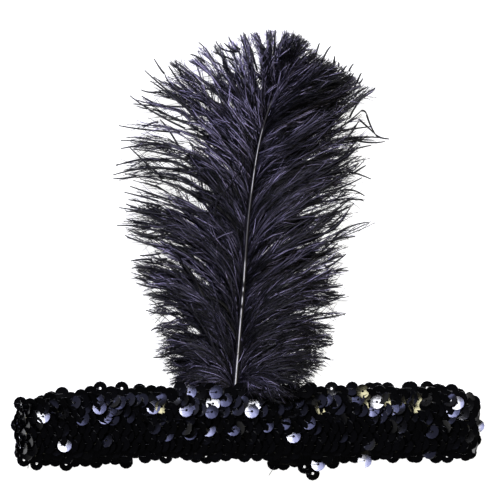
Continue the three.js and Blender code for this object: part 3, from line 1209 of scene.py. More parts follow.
@dataclass
class Heap:
    """Small closed bodies that gather into one mesh, each point with its tone."""

    points: list[np.ndarray] = field(default_factory=list)
    loops: list[np.ndarray] = field(default_factory=list)
    sizes: list[np.ndarray] = field(default_factory=list)
    tones: list[np.ndarray] = field(default_factory=list)

    def _put(self, points: np.ndarray, faces: list[tuple[int, ...]], tones: np.ndarray) -> None:
        """Adds bodies that share their faces' pattern.

        Args:
            points: Each body's points.
            faces: The corners of one body's faces.
            tones: Each body's tones, one a point.
        """
        before = sum(len(some) for some in self.points)
        loops, sizes = repeat_faces(faces, *points.shape[:2], before)
        self.loops.append(loops)
        self.sizes.append(sizes)
        self.points.append(points.reshape(-1, 3))
        self.tones.append(tones.ravel())

    def add_tubes(
        self, lines: np.ndarray, across: np.ndarray, depth: np.ndarray, tones: np.ndarray
    ) -> None:
        """Adds a closed three-sided tube along each line.

        Args:
            lines: The lines' points.
            across: Half of the tubes' widths at those points.
            depth: Half of their depths there.
            tones: Their tones there.
        """
        samples = lines.shape[1]
        way = unit(np.gradient(lines, axis=1))
        side = unit(np.cross(way, NEARLY_UP))
        above = np.cross(side, way)
        rings = [
            lines + side * (across * math.cos(a))[..., None] + above * (depth * math.sin(a))[..., None]
            for a in TRIANGLE]
        points = np.stack(rings, 2).reshape(len(lines), -1, 3)
        quads = [(3 * k + i, 3 * k + 3 + i, 3 * k + 3 + (i + 1) % 3, 3 * k + (i + 1) % 3)
                 for k in range(samples - 1) for i in range(3)]
        last = 3 * (samples - 1)
        shown = np.broadcast_to(tones, lines.shape[:2])
        self._put(points, [*quads, (0, 1, 2), (last + 2, last + 1, last)], np.repeat(shown, 3, 1))

    def add_spikes(
        self, foot: np.ndarray, end: np.ndarray, width: float, tones: np.ndarray
    ) -> None:
        """Adds a closed three-sided spike from each foot to its end.

        Args:
            foot: Where the spikes begin.
            end: Where they end.
            width: Their width at the foot.
            tones: Their tones.
        """
        aim = unit(end - foot)
        flat = unit(np.cross(aim, NEARLY_UP))
        thick = np.cross(flat, aim)
        corners = [foot + width / 2 * (flat * math.cos(a) + thick * math.sin(a)) for a in TRIANGLE]
        points = np.stack([*corners, end], 1)
        faces = [(0, 2, 1), (0, 1, 3), (1, 2, 3), (2, 0, 3)]
        self._put(points, faces, np.repeat(tones[:, None], 4, 1))

    def piece(self, name: str) -> bpy.types.Object:
        """Makes the mesh of all that was added."""
        arrays = [np.concatenate(some) for some in (self.points, self.loops, self.sizes, self.tones)]
        return mesh_from_arrays(name, *arrays[:3], {"tone": arrays[3]})


@dataclass
class Vane:
    """One side of the plume: a ground of soft barbs, and locks of long ones that reach past it."""

    side: Side
    line: QuillLine
    rows: Table
    locks: Table
    # Slits between the locks: X and Y of both ends, and radius
    gaps: Table
    # Places painted darker or paler, as painted shade and light: X, Y, radius and share
    shades: Table
    # Strands that lie on top of the others: X and Y of start, middle and end
    loose: Table
    # Locks with tips above this Y are cut off straight
    trimmed: float = 150.0
    fuzz: Fuzz = Fuzz()
    hairs: Hairs = Hairs()
    ground: Ground = Ground()
    bundle: Bundle = Bundle()
    cover: Cover = Cover()
    leaf: Leaf = Leaf()
    stem: Stem = Stem()
    strand: Strand = Strand()
    # Where barbs leave the shaft: share of its radius, and rise from layer to layer
    root_depth: float = 0.8
    root_layer: float = 0.3
    layer_rise: float = 1.5
    arch: float = 3.0
    first_bend: float = 0.46
    second_bend: float = 0.36
    second_lift: float = 0.6
    wave: float = 1.0
    wave_turn: float = 8.0
    # How far barbs give way to a slit, as a share of its radius
    give: tuple[float, float] = (0.8, 1.1)
    crowd_steps: int = 400
    samples: int = 14
    pieces: int = 4

    def __post_init__(self) -> None:
        """Seeds this side's irregularities."""
        self.chance = np.random.default_rng(SEED + self.side.value)

    def _read(self, column: Col, along: np.ndarray) -> np.ndarray:
        """Values of a column at shares of this side."""
        return look_up(self.rows, column, along)

    def _ends(self, along: np.ndarray) -> np.ndarray:
        """Where barbs end at shares of this side."""
        return np.stack([self._read(column, along) for column in (Col.X, Col.Y, Col.Z)], 1)

    def _aim(self, degrees: np.ndarray) -> np.ndarray:
        """Level unit vectors at angles from +Y towards this side."""
        angle = np.radians(degrees)
        return np.stack([np.sin(angle) * self.side.value, np.cos(angle), np.zeros(len(angle))], 1)

    def _shares(self, count: int) -> np.ndarray:
        """Spreads barbs along this side, closer where the table crowds them.

        Args:
            count: How many.

        Returns:
            The shares of this side at which they grow.
        """
        fine = np.linspace(0, 1, self.crowd_steps)
        crowd = np.cumsum(self._read(Col.CROWD, fine))
        spots = (np.arange(count) + self.chance.random(count)) / count
        return np.interp(spots, (crowd - crowd[0]) / (crowd[-1] - crowd[0]), fine)

    def _root(self, height: np.ndarray, layer: np.ndarray) -> np.ndarray:
        """Finds where barbs leave this side of the shaft.

        Args:
            height: Their Y there.
            layer: Their layers, from -1 to 1.

        Returns:
            The points.
        """
        place = np.interp(height, self.line.line[:, 1], self.line.places)
        sideways = unit(np.cross(self.line.way(place), UP)) * self.side.value
        root = self.line.at(place) + sideways * self.line.radius(place)[:, None] * self.root_depth
        root[:, 2] += layer * self.root_layer
        return root

    def _shade(self, points: np.ndarray) -> np.ndarray:
        """Reads the painted shade and light of the patches.

        Args:
            points: The places.

        Returns:
            A share for each.
        """
        share = np.ones(points.shape[:-1])
        for x, y, radius, depth in self.shades:
            apart = np.hypot(points[..., 0] - x, points[..., 1] - y) / radius
            share = share * (1 + (depth - 1) * np.exp(-(apart**2)))
        return share

    def _sway(self, lines: np.ndarray, turn: np.ndarray, size: np.ndarray) -> np.ndarray:
        """Gives barbs a slow wave to the side.

        Args:
            lines: Their points.
            turn: The angles that they turn to, in degrees.
            size: How far they wave.

        Returns:
            Their new points.
        """
        t = np.linspace(0, 1, self.samples)[None, :, None]
        phase = self.chance.uniform(0, 2 * math.pi, len(lines))[:, None, None]
        waves = size[:, None, None] * np.sin(t * self.wave_turn + phase) * t
        return lines + waves * self._aim(turn + 90)[:, None]

    def _curve(self, bends: np.ndarray, stretch: np.ndarray) -> np.ndarray:
        """Draws curves with four control points.

        Args:
            bends: The control points.
            stretch: The share of each curve that is drawn.

        Returns:
            The curves' points.
        """
        t = np.linspace(0, 1, self.samples)[None, :, None] * stretch[:, None, None]
        root, first, second, end = (bends[:, None, i] for i in range(4))
        return (
            (1 - t) ** 3 * root + 3 * t * (1 - t) ** 2 * first + 3 * t**2 * (1 - t) * second
            + t**3 * end)

    def _bends(
        self, root: np.ndarray, end: np.ndarray, turns: tuple[np.ndarray, np.ndarray],
        reach: np.ndarray, lift: np.ndarray
    ) -> np.ndarray:
        """Sets the control points of arched barbs.

        Args:
            root: Where the barbs leave the shaft.
            end: Where they end.
            turns: The angles at which they leave and arrive.
            reach: Their lengths, from root to end.
            lift: How far they rise between.

        Returns:
            Four points a barb.
        """
        first = root + self._aim(turns[0]) * reach * self.first_bend + lift
        second = end - self._aim(turns[1]) * reach * self.second_bend + lift * self.second_lift
        return np.stack([root, first, second, end], 1)

    def _part(self, points: np.ndarray) -> np.ndarray:
        """Moves barbs out of the slits, each about as far as their edges.

        Args:
            points: The barbs' points, which change.

        Returns:
            The same points.
        """
        give = self.chance.uniform(*self.give, (len(points), *[1] * (points.ndim - 2)))
        for *ends, widest in self.gaps:
            away, radius = self._from_slit(points, ends), widest * give
            apart = np.linalg.norm(away, axis=-1) + TINY
            wider = np.sqrt(apart**2 + radius**2 * np.exp(-((apart / radius) ** 2)))
            points[..., :2] += away * (wider / apart - 1)[..., None]
        return points

    def _room(self, points: np.ndarray) -> np.ndarray:
        """Measures how far points are from the edge of the nearest slit.

        Args:
            points: The points.

        Returns:
            The distances, which are negative inside a slit.
        """
        room = np.full(points.shape[:-1], np.inf)
        for *ends, radius in self.gaps:
            room = np.minimum(room, np.linalg.norm(self._from_slit(points, ends), axis=-1) - radius)
        return room

    @staticmethod
    def _from_slit(points: np.ndarray, ends: list[float]) -> np.ndarray:
        """Finds the level ways to points from the nearest place on a slit's middle line.

        Args:
            points: The points.
            ends: X and Y of the line's two ends.

        Returns:
            The ways, as X and Y.
        """
        start, run = np.array(ends[:2]), np.array(ends[2:]) - ends[:2]
        flat = points[..., :2] - start
        share = np.clip(flat @ run / (run @ run), 0, 1)
        return flat - share[..., None] * run

    def _top(self, flat: np.ndarray) -> np.ndarray:
        """Finds the height of the vane's upper side, from barbs that lie evenly.

        Args:
            flat: X and Y of the places.

        Returns:
            Their Z.
        """
        cover = self.cover
        along = np.linspace(0, 1, cover.lines)
        root = self._root(self._read(Col.ROOT_Y, along), np.ones(cover.lines))
        end = self._ends(along) + cover.rise * UP
        reach = np.linalg.norm(end - root, axis=1)[:, None]
        turns = (self._read(Col.LEAVE, along), self._read(Col.ARRIVE, along))
        bends = self._bends(root, end, turns, reach, (self.arch + cover.arch) * UP)
        points = self._curve(bends, np.full(cover.lines, cover.stretch)).reshape(-1, 3)
        apart = np.linalg.norm(flat[:, None] - points[None, :, :2], axis=2)
        return points[apart.argmin(1), 2]

    def _ground(self) -> tuple[np.ndarray, np.ndarray, np.ndarray, np.ndarray]:
        """Draws the barbs of the ground, and the short ones along the shaft.

        Returns:
            Each barb's share of this side, its points, its tone and whether it is a long one.
        """
        chance, rows, own = self.chance, np.array(self.rows), self.ground
        heights = np.linspace(own.near_from, own.near_to, own.near)
        sprouts = np.interp(heights, rows[:, Col.ROOT_Y], rows[:, Col.ALONG])
        along = np.concatenate([self._shares(own.barbs), sprouts])
        count = len(along)
        near = np.arange(count) >= own.barbs
        layer = chance.uniform(-1, 1, count)
        root_y = self._read(Col.ROOT_Y, along) + chance.normal(0, own.root_spread, count)
        root = self._root(root_y, layer)
        swing = chance.normal(0, own.crossing, count)
        end = self._ends(np.clip(along + swing, 0, 1))
        end += chance.normal(0, own.end_spread, (count, 3)) * [1, 1, own.end_rise]
        end[:, 2] = np.maximum(end[:, 2] + (layer + 1) * self.layer_rise, own.lowest)
        leave = self._read(Col.LEAVE, along) + chance.normal(0, own.leave_spread, count)
        near_leave = own.near_leave + chance.normal(0, own.near_leave_spread, count)
        leave = np.where(near, near_leave, leave)
        arrive = self._read(Col.ARRIVE, along) + chance.normal(0, own.arrive_spread, count)
        arrive = np.where(near, leave + own.near_turn, arrive)
        reach = np.linalg.norm(end - root, axis=1)[:, None]
        reach = np.where(near[:, None], reach * chance.uniform(*own.near_reach, (count, 1)), reach)
        end = np.where(near[:, None], root + self._aim(leave) * reach, end)
        lift = np.where(near, own.near_lift, self.arch + layer * own.lift_spread)[:, None] * UP
        bends = self._bends(root, end, (leave, arrive), reach, lift)
        stretch = self._read(Col.REACH, along) * chance.uniform(*own.cut, count)
        stretch = np.where(near, 1.0, stretch)
        lines = self._curve(bends, stretch)
        lines = self._sway(lines, arrive, chance.normal(0, self.wave, count) * ~near)
        # The row's tone is partly painted light, raised on the upper rows
        tone = chance.random(count) ** own.tone_power * self._read(Col.TONE, along)
        tone = tone * np.where(near, 1.0, own.tone) * chance.uniform(*own.tone_spread, count)
        return along, lines, tone, ~near

    def _locks(self) -> tuple[np.ndarray, np.ndarray, np.ndarray]:
        """Draws the barbs that lie together as locks.

        Returns:
            Each barb's share of this side, its points and its tone.
        """
        chance, rows, own = self.chance, np.array(self.rows), self.bundle
        locks = np.array(self.locks)
        barbs = np.round(locks[:, Lock.BARBS] * own.fullness).astype(int)
        owner = np.repeat(np.arange(len(locks)), barbs)
        lock, count = locks[owner], len(owner)
        cropped = lock[:, Lock.Y] > self.trimmed
        layer = chance.uniform(-1, 1, len(locks))[owner]
        root_y = lock[:, Lock.ROOT_Y] + chance.normal(0, own.root_spread, count)
        root = self._root(np.maximum(root_y, own.lowest_root), layer)
        order = np.argsort(rows[:, Col.ROOT_Y], kind="stable")
        along = np.interp(root_y, rows[order, Col.ROOT_Y], rows[order, Col.ALONG])
        order = np.argsort(rows[:, Col.Y], kind="stable")
        beside = np.interp(lock[:, Lock.Y], rows[order, Col.Y], rows[order, Col.Z])
        height = np.where(lock[:, Lock.Y] < own.low, beside, self._read(Col.Z, along))
        tip = np.stack([lock[:, Lock.X], lock[:, Lock.Y], height], 1)
        tip[:, 2] += (layer + 1) * self.layer_rise
        middle = np.stack([lock[:, Lock.MID_X], lock[:, Lock.MID_Y], root[:, 2]], 1)
        clear = np.minimum(np.abs(middle[:, 0] - root[:, 0]) / own.rise_over, 1)
        arch = self.arch * own.arch + layer * own.arch_spread
        middle[:, 2] = (root[:, 2] + tip[:, 2]) / 2 + arch * clear
        way = unit((tip - middle) * [1, 1, 0])
        across = np.cross(way, UP)
        fan = chance.uniform(-own.fan, own.fan, count)[:, None] * lock[:, Lock.SPREAD, None]
        middle += across * (fan * own.middle_fan + chance.normal(0, own.middle_spread, (count, 1)))
        uneven = np.where(cropped, own.trimmed_uneven, own.uneven)[:, None]
        tip += across * fan + way * (chance.normal(0, 1, (count, 1)) - own.shorter) * uneven
        inner = np.linalg.norm(middle - root, axis=1, keepdims=True)
        part = inner / (inner + np.linalg.norm(tip - middle, axis=1, keepdims=True))
        bend = middle - (1 - part) ** 2 * root - part**2 * tip
        bend /= 2 * part * (1 - part)
        least = np.interp(lock[:, Lock.Y], *zip(*own.shortest))
        cut = np.where(cropped, 1.0, chance.uniform(least, 1))
        t = np.linspace(0, 1, self.samples)[None, :, None] * cut[:, None, None]
        lines = arc(root[:, None], bend[:, None], tip[:, None], t)
        turn = np.degrees(np.arctan2(way[:, 0] * self.side.value, way[:, 1]))
        lines = self._sway(lines, turn, chance.normal(0, self.wave * own.wave, count))
        # The row's tone is partly painted light, raised on the upper rows
        tone = chance.random(len(locks))[owner] ** own.tone_power * self._read(Col.TONE, along)
        return along, lines, tone * chance.uniform(*own.tone_spread, count)

    def _barbs(self) -> tuple[np.ndarray, np.ndarray, np.ndarray, np.ndarray]:
        """Draws all barbs of this side, from the band to the tip.

        Returns:
            Each barb's share of this side, its points, its tone and whether it is of the ground.
        """
        along, lines, tone, ground = self._ground()
        lock_along, lock_lines, lock_tone = self._locks()
        along = np.concatenate([along, lock_along])
        lines = np.concatenate([lines, lock_lines])
        tone = np.concatenate([tone, lock_tone])
        ground = np.concatenate([ground, np.zeros(len(lock_along), bool)])
        lines = self._part(lines)
        lines[:, :, 2] = np.maximum(lines[:, :, 2], self.stem.lowest)
        order = np.argsort(along, kind="stable")
        return along[order], lines[order], tone[order], ground[order]

    def _loose(self) -> np.ndarray:
        """Draws the strands that lie on top of the others.

        Returns:
            Their points.
        """
        t = np.linspace(0, 1, self.samples)[None, :, None]
        flat = np.array(self.loose).reshape(-1, 3, 2)
        height = np.stack([self._top(flat[:, i]) for i in range(3)], 1)
        marks = np.concatenate([flat, height[..., None]], 2)
        start, middle, end = (marks[:, None, i] for i in range(3))
        bend = 2 * middle - (start + end) / 2
        return arc(start, bend, end, t)

    @staticmethod
    def _grow(lines: np.ndarray, spacing: float) -> tuple[np.ndarray, np.ndarray]:
        """Shares out what grows on barbs by their lengths.

        Args:
            lines: The barbs' points.
            spacing: The length of barb to each.

        Returns:
            The barbs' lengths, and the number of the barb that each grows on.
        """
        lengths = np.linalg.norm(np.diff(lines, axis=1), axis=2).sum(1)
        return lengths, np.repeat(np.arange(len(lines)), (lengths / spacing).astype(int))

    def _on(
        self, lines: np.ndarray, barb: np.ndarray, share: np.ndarray
    ) -> tuple[np.ndarray, np.ndarray, np.ndarray]:
        """Finds places on barbs.

        Args:
            lines: The barbs' points.
            barb: The number of each place's barb.
            share: The share of its length.

        Returns:
            The points there, the way along the barb and the way to its side.
        """
        spot = share * (lines.shape[1] - 1)
        low = np.minimum(spot.astype(int), lines.shape[1] - 2)
        before, after = lines[barb, low], lines[barb, low + 1]
        way = unit(after - before)
        point = before + (after - before) * (spot - low)[..., None]
        return point, way, unit(np.cross(way, NEARLY_UP))

    def _add_hairs(self, heap: Heap, lines: np.ndarray, tone: np.ndarray) -> None:
        """Lays long hairs beside the barbs.

        Args:
            heap: The mesh that they go into.
            lines: The barbs' points.
            tone: The barbs' tones.
        """
        chance, hairs = self.chance, self.hairs
        lengths, barb = self._grow(lines, hairs.spacing)
        count = len(barb)
        start = chance.uniform(0, hairs.last_start, count)
        reach = chance.uniform(hairs.shortest, hairs.longest, count) / lengths[barb]
        step = np.linspace(0, 1, hairs.steps)[None]
        share = start[:, None] + (np.minimum(start + reach, 1) - start)[:, None] * step
        path, way, side = self._on(lines, np.repeat(barb[:, None], hairs.steps, 1), share)
        leave = chance.normal(0, hairs.apart, count)[:, None] * step**hairs.apart_power
        leave = leave + chance.normal(0, hairs.beside, count)[:, None]
        rise = chance.normal(hairs.rise, hairs.rise_spread, count)[:, None] * step
        path = path + side * leave[..., None] + np.cross(side, way) * rise[..., None]
        path = self._part(path)
        path[..., 2] = np.maximum(path[..., 2], hairs.lowest)
        half = np.broadcast_to(hairs.width / 2 * (1 - hairs.thinner * step), share.shape)
        shade = chance.random(count) ** hairs.rare * (hairs.least + hairs.palest * tone[barb])
        shade = shade * self._shade(path[:, hairs.steps // 2])
        # Painted highlight: each hair is painted paler around one place, and the patches add painted
        # shade and light
        from_gleam = step - chance.uniform(*hairs.gleam_at, count)[:, None]
        painted_gleam = np.exp(-((from_gleam / hairs.gleam_width) ** 2))
        heap.add_tubes(path, half, half, shade[:, None] * (hairs.dull + hairs.bright * painted_gleam))

    def _add_fuzz(
        self, heap: Heap, lines: np.ndarray, sizes: tuple[np.ndarray, np.ndarray], tone: np.ndarray
    ) -> None:
        """Sets short barbules on the outer part of the barbs.

        Args:
            heap: The mesh that they go into.
            lines: The barbs' points.
            sizes: The barbules' lengths on the barbs and at their ends.
            tone: The barbs' tones.
        """
        chance, fuzz = self.chance, self.fuzz
        _, barb = self._grow(lines, fuzz.spacing)
        count = len(barb)
        share = chance.uniform(fuzz.start, 1, count)
        foot, way, side = self._on(lines, barb, share)
        turn = chance.uniform(0, 2 * math.pi, count)[:, None]
        out = side * np.cos(turn) - np.cross(side, way) * np.abs(np.sin(turn)) * fuzz.flat
        opening = chance.normal(fuzz.angle, fuzz.angle_spread, count) * (1 - fuzz.closing * share)
        opening = np.radians(opening)[:, None]
        whole, last = (size[barb] for size in sizes)
        length = whole + (last - whole) * share**fuzz.shortening
        length = length * chance.uniform(*fuzz.length_spread, count)
        end = foot + (way * np.cos(opening) + out * np.sin(opening)) * length[:, None]
        end = self._part(end)
        end[:, 2] = np.maximum(end[:, 2], fuzz.lowest)
        # The patches add painted shade and light to the barbules
        heap.add_spikes(foot, end, fuzz.width, fuzz.tone * tone[barb] * self._shade(foot))

    def _dye_and_painted_light(self, lines: np.ndarray, tone: np.ndarray) -> np.ndarray:
        """Shares out the dye along the barbs, with a painted gleam on each and the patches' painted
        shade and light.

        Args:
            lines: The barbs' points.
            tone: The barbs' tones.

        Returns:
            The tones of their points.
        """
        stem, count = self.stem, len(lines)
        share = np.linspace(0, 1, self.samples)[None]
        spot = self.chance.uniform(*stem.gleam_at, count)[:, None]
        width = self.chance.uniform(*stem.gleam_width, count)[:, None]
        # Painted highlight: each stem is painted paler around one place along it
        gleam = stem.dull + stem.bright * np.exp(-(((share - spot) / width) ** 2))
        shown = (stem.least + stem.tone * tone[:, None]) * gleam * self._shade(lines)
        deep = self.chance.random(count) < stem.deep_share
        return shown * np.where(deep, stem.deep, stem.pale)[:, None]

    def build(self, material: bpy.types.Material) -> None:
        """Makes this side in a few pieces, from the band up, and its loose strands.

        Args:
            material: The barbs' finish.
        """
        side, stem, leaf, strand = self.side.name.lower(), self.stem, self.leaf, self.strand
        along, lines, tone, ground = self._barbs()
        share = np.linspace(0, 1, self.samples)[None]
        half = (stem.width + (stem.end - stem.width) * share) / 2
        broad = leaf.width / 2 * (leaf.foot + leaf.widening * eased(share / leaf.widens_over))
        broad = broad * (1 - share**3) + leaf.least
        thin = np.full_like(share, leaf.half_depth)
        shown = self._dye_and_painted_light(lines, tone)
        sizes = self._read(Col.BARBULE, along), self._read(Col.BARBULE_END, along)
        for number, some in enumerate(np.array_split(np.arange(len(along)), self.pieces), 1):
            heap = Heap()
            heap.add_tubes(lines[some], half, half, shown[some])
            self._add_hairs(heap, lines[some], tone[some])
            self._add_fuzz(heap, lines[some], (sizes[0][some], sizes[1][some]), tone[some])
            under = lines[some][ground[some]][:: leaf.every] - leaf.drop * UP
            under[..., 2] = np.maximum(under[..., 2], leaf.lowest)
            room = np.clip(self._room(under), leaf.narrowest, broad)
            heap.add_tubes(under, room, thin, np.zeros_like(share))
            settle(heap.piece(f"barbs_{side}_{number}"), material, f"vane_{side}")
        heap, strands = Heap(), self._loose()
        bold = strand.width / 2 * (1 - strand.thinner * share**2)
        heap.add_tubes(strands, bold, bold, np.full_like(share, strand.tone))
        ones = np.ones(len(strands))
        barbules = (ones * strand.barbule, ones * strand.barbule_end)
        self._add_fuzz(heap, strands, barbules, ones * strand.barbule_tone)
        settle(heap.piece(f"strands_{side}"), material, f"vane_{side}")


@dataclass
class Plume:
    """The ostrich plume: its shaft and the two sides of its vane."""

    line: QuillLine = field(default_factory=QuillLine)
    # Y above which the right side's locks are cut off straight
    right_trimmed: float = 135.0
    # Rows of the two sides, from the band to the tip, with the columns that Col names. The tone column
    # rises towards the tip as painted light.
    left: Table = (
        (0.0, 14.0, -30.5, 14.5, 3.0, 55, 95, 5.6, 3.2, 0.97, 1.0, 0.8),
        (0.07, 14.5, -38.0, 24.0, 1.5, 40, 88, 5.6, 3.2, 0.95, 1.0, 0.8),
        (0.14, 15.0, -39.5, 36.0, 1.0, 22, 84, 5.4, 3.0, 0.95, 1.0, 0.8),
        (0.21, 17.0, -44.0, 51.0, 0.8, 9, 78, 5.2, 2.8, 0.95, 1.0, 0.9),
        (0.28, 23.0, -48.5, 64.5, 0.8, 5, 75, 5.0, 2.6, 0.95, 1.0, 0.85),
        (0.35, 37.0, -51.0, 80.0, 0.8, 9, 75, 4.8, 2.2, 0.96, 1.1, 0.85),
        (0.42, 53.0, -53.5, 92.0, 0.8, 14, 80, 4.5, 1.9, 0.92, 1.1, 0.9),
        (0.49, 69.0, -56.0, 103.0, 0.8, 18, 88, 4.2, 1.6, 0.65, 1.0, 0.9),
        (0.55, 82.0, -53.5, 119.0, 1.0, 20, 84, 4.0, 1.4, 0.6, 1.0, 1.2),
        (0.61, 95.0, -49.0, 136.0, 1.5, 23, 65, 4.0, 1.4, 0.62, 1.0, 1.4),
        (0.67, 104.0, -41.0, 146.5, 2.5, 24, 52, 4.0, 1.6, 0.68, 1.0, 1.8),
        (0.74, 111.0, -28.5, 154.5, 4.5, 24, 45, 4.0, 1.8, 0.72, 1.0, 3.0),
        (0.8, 117.0, -17.0, 158.8, 8.0, 22, 32, 4.0, 2.0, 0.74, 1.1, 4.8),
        (0.86, 123.0, -5.3, 161.8, 13.0, 20, 18, 4.0, 2.2, 0.76, 1.2, 6.6),
        (0.93, 130.0, 6.1, 162.8, 18.0, 15, 4, 3.8, 2.2, 0.8, 1.2, 7.0),
        (1.0, 140.0, 15.0, 163.0, 22.0, 10, -8, 3.6, 2.0, 0.85, 1.2, 5.6))
    right: Table = (
        (0.0, 17.0, 3.5, 12.5, 16.8, 100, 165, 5.0, 3.0, 1.0, 2.0, 0.8),
        (0.03, 17.0, 12.0, 8.5, 16.8, 80, 140, 5.4, 3.2, 1.0, 2.0, 0.8),
        (0.06, 16.5, 20.5, 9.5, 16.5, 66, 118, 5.4, 3.2, 1.0, 2.0, 0.8),
        (0.085, 16.0, 25.0, 14.5, 12.0, 60, 108, 5.4, 3.2, 0.97, 1.0, 0.5),
        (0.12, 16.0, 30.5, 22.9, 2.0, 52, 98, 5.4, 3.0, 0.97, 1.1, 0.42),
        (0.17, 18.0, 35.0, 32.6, 1.0, 44, 94, 5.2, 2.8, 0.97, 1.1, 0.45),
        (0.22, 22.0, 35.5, 42.0, 0.8, 36, 90, 5.0, 2.6, 0.92, 1.0, 0.55),
        (0.29, 31.0, 38.5, 52.3, 0.8, 32, 86, 4.8, 2.4, 0.88, 1.0, 0.6),
        (0.36, 41.0, 40.0, 64.0, 0.8, 30, 78, 4.5, 2.2, 0.88, 1.0, 0.65),
        (0.43, 52.0, 43.0, 76.5, 0.8, 32, 70, 4.2, 2.0, 0.9, 1.0, 0.6),
        (0.5, 63.0, 46.0, 90.0, 1.0, 34, 64, 4.0, 1.6, 0.92, 1.2, 0.65),
        (0.57, 75.0, 50.0, 105.0, 1.2, 36, 60, 4.0, 1.6, 0.97, 1.2, 0.65),
        (0.64, 88.0, 52.0, 119.0, 2.0, 38, 60, 4.0, 1.5, 0.9, 1.2, 0.7),
        (0.71, 99.0, 50.0, 132.0, 5.0, 38, 52, 4.0, 1.8, 0.88, 1.1, 1.0),
        (0.78, 110.0, 49.5, 141.5, 9.0, 36, 48, 4.0, 2.0, 0.93, 1.3, 1.4),
        (0.85, 122.0, 43.5, 147.5, 14.0, 34, 46, 4.0, 1.8, 0.94, 1.7, 1.6),
        (0.91, 131.0, 35.5, 152.8, 18.5, 30, 40, 3.8, 1.6, 0.94, 1.8, 1.6),
        (0.96, 138.0, 27.0, 159.2, 20.5, 25, 28, 3.6, 1.6, 0.95, 1.9, 2.0),
        (1.0, 143.0, 18.0, 163.0, 22.0, 18, 10, 3.6, 1.6, 0.95, 1.9, 2.6))
    # Locks, with the columns that Lock names
    left_locks: Table = (
        (-56.3, 104.4, -27.5, 105.2, 78.3, 2.1, 4), (-56.2, 102.5, -28.3, 101.8, 76.6, 1.7, 4),
        (-55.6, 108.0, -30.4, 109.0, 81.7, 1.7, 4), (-53.1, 115.3, -31.7, 114.5, 88.4, 2.1, 5),
        (-53.5, 118.6, -31.7, 117.4, 91.3, 1.7, 4), (-54.0, 125.1, -29.2, 121.6, 95.1, 0.8, 2),
        (-47.9, 134.0, -29.2, 128.3, 101.0, 1.7, 4), (-49.5, 137.4, -29.2, 130.4, 102.7, 1.3, 3),
        (-44.7, 139.9, -26.7, 134.2, 105.2, 1.7, 4), (-40.9, 143.6, -24.1, 135.4, 106.9, 2.1, 5),
        (-43.3, 148.2, -25.0, 137.1, 108.1, 1.7, 4), (-34.6, 146.8, -19.1, 136.7, 111.1, 2.5, 6),
        (-31.7, 151.4, -17.4, 138.8, 113.6, 2.5, 6), (-23.7, 152.2, -12.4, 140.5, 116.1, 2.9, 7),
        (-19.9, 157.3, -10.7, 145.5, 118.6, 1.7, 4), (-12.8, 158.1, -5.7, 146.8, 121.2, 2.5, 6),
        (-7.3, 159.4, -1.9, 148.0, 123.7, 1.7, 5), (-51.9, 96.8, -29.2, 91.8, 70.3, 1.3, 3),
        (-53.8, 90.3, -28.3, 84.2, 61.9, 2.5, 6), (-50.6, 85.5, -29.2, 81.7, 57.8, 2.5, 6),
        (-55.2, 82.7, -32.5, 80.0, 55.6, 1.7, 4), (-50.6, 81.3, -31.7, 77.5, 52.7, 1.7, 5),
        (-51.9, 78.8, -32.5, 71.6, 48.1, 1.3, 3), (-48.9, 67.8, -29.2, 61.9, 39.7, 2.5, 7),
        (-48.9, 64.9, -28.3, 57.8, 36.8, 2.1, 7), (-47.2, 60.3, -27.5, 54.8, 33.8, 2.5, 8),
        (-44.3, 53.1, -26.2, 50.2, 29.6, 1.7, 5), (-42.6, 47.7, -25.8, 47.7, 27.1, 2.5, 5),
        (-40.1, 38.4, -24.1, 42.2, 23.7, 2.5, 6), (-36.3, 33.8, -20.8, 33.8, 19.9, 3.8, 9),
        (-37.6, 27.9, -20.8, 29.6, 17.8, 3.4, 9), (-32.5, 22.5, -19.1, 25.4, 16.2, 3.4, 9),
        (-30.0, 17.0, -17.4, 20.4, 14.9, 3.4, 9), (-25.8, 14.9, -14.9, 17.8, 14.5, 2.5, 6),
        (-17.8, 67.4, -10.7, 43.9, 16.2, 5.9, 8), (-12.4, 70.3, -8.2, 43.9, 15.8, 5.0, 8),
        (-8.2, 67.4, -6.1, 43.0, 15.3, 4.2, 7), (-1.9, 162.3, -0.2, 151.4, 122.8, 1.7, 6),
        (2.7, 162.5, 7.6, 153.1, 132.9, 2.1, 7), (9.9, 163.0, 9.7, 154.8, 136.3, 2.5, 8),
        (-32.5, 17.8, -18.3, 19.5, 14.5, 3.4, 9), (-28.3, 15.3, -16.6, 17.0, 14.1, 2.9, 8))
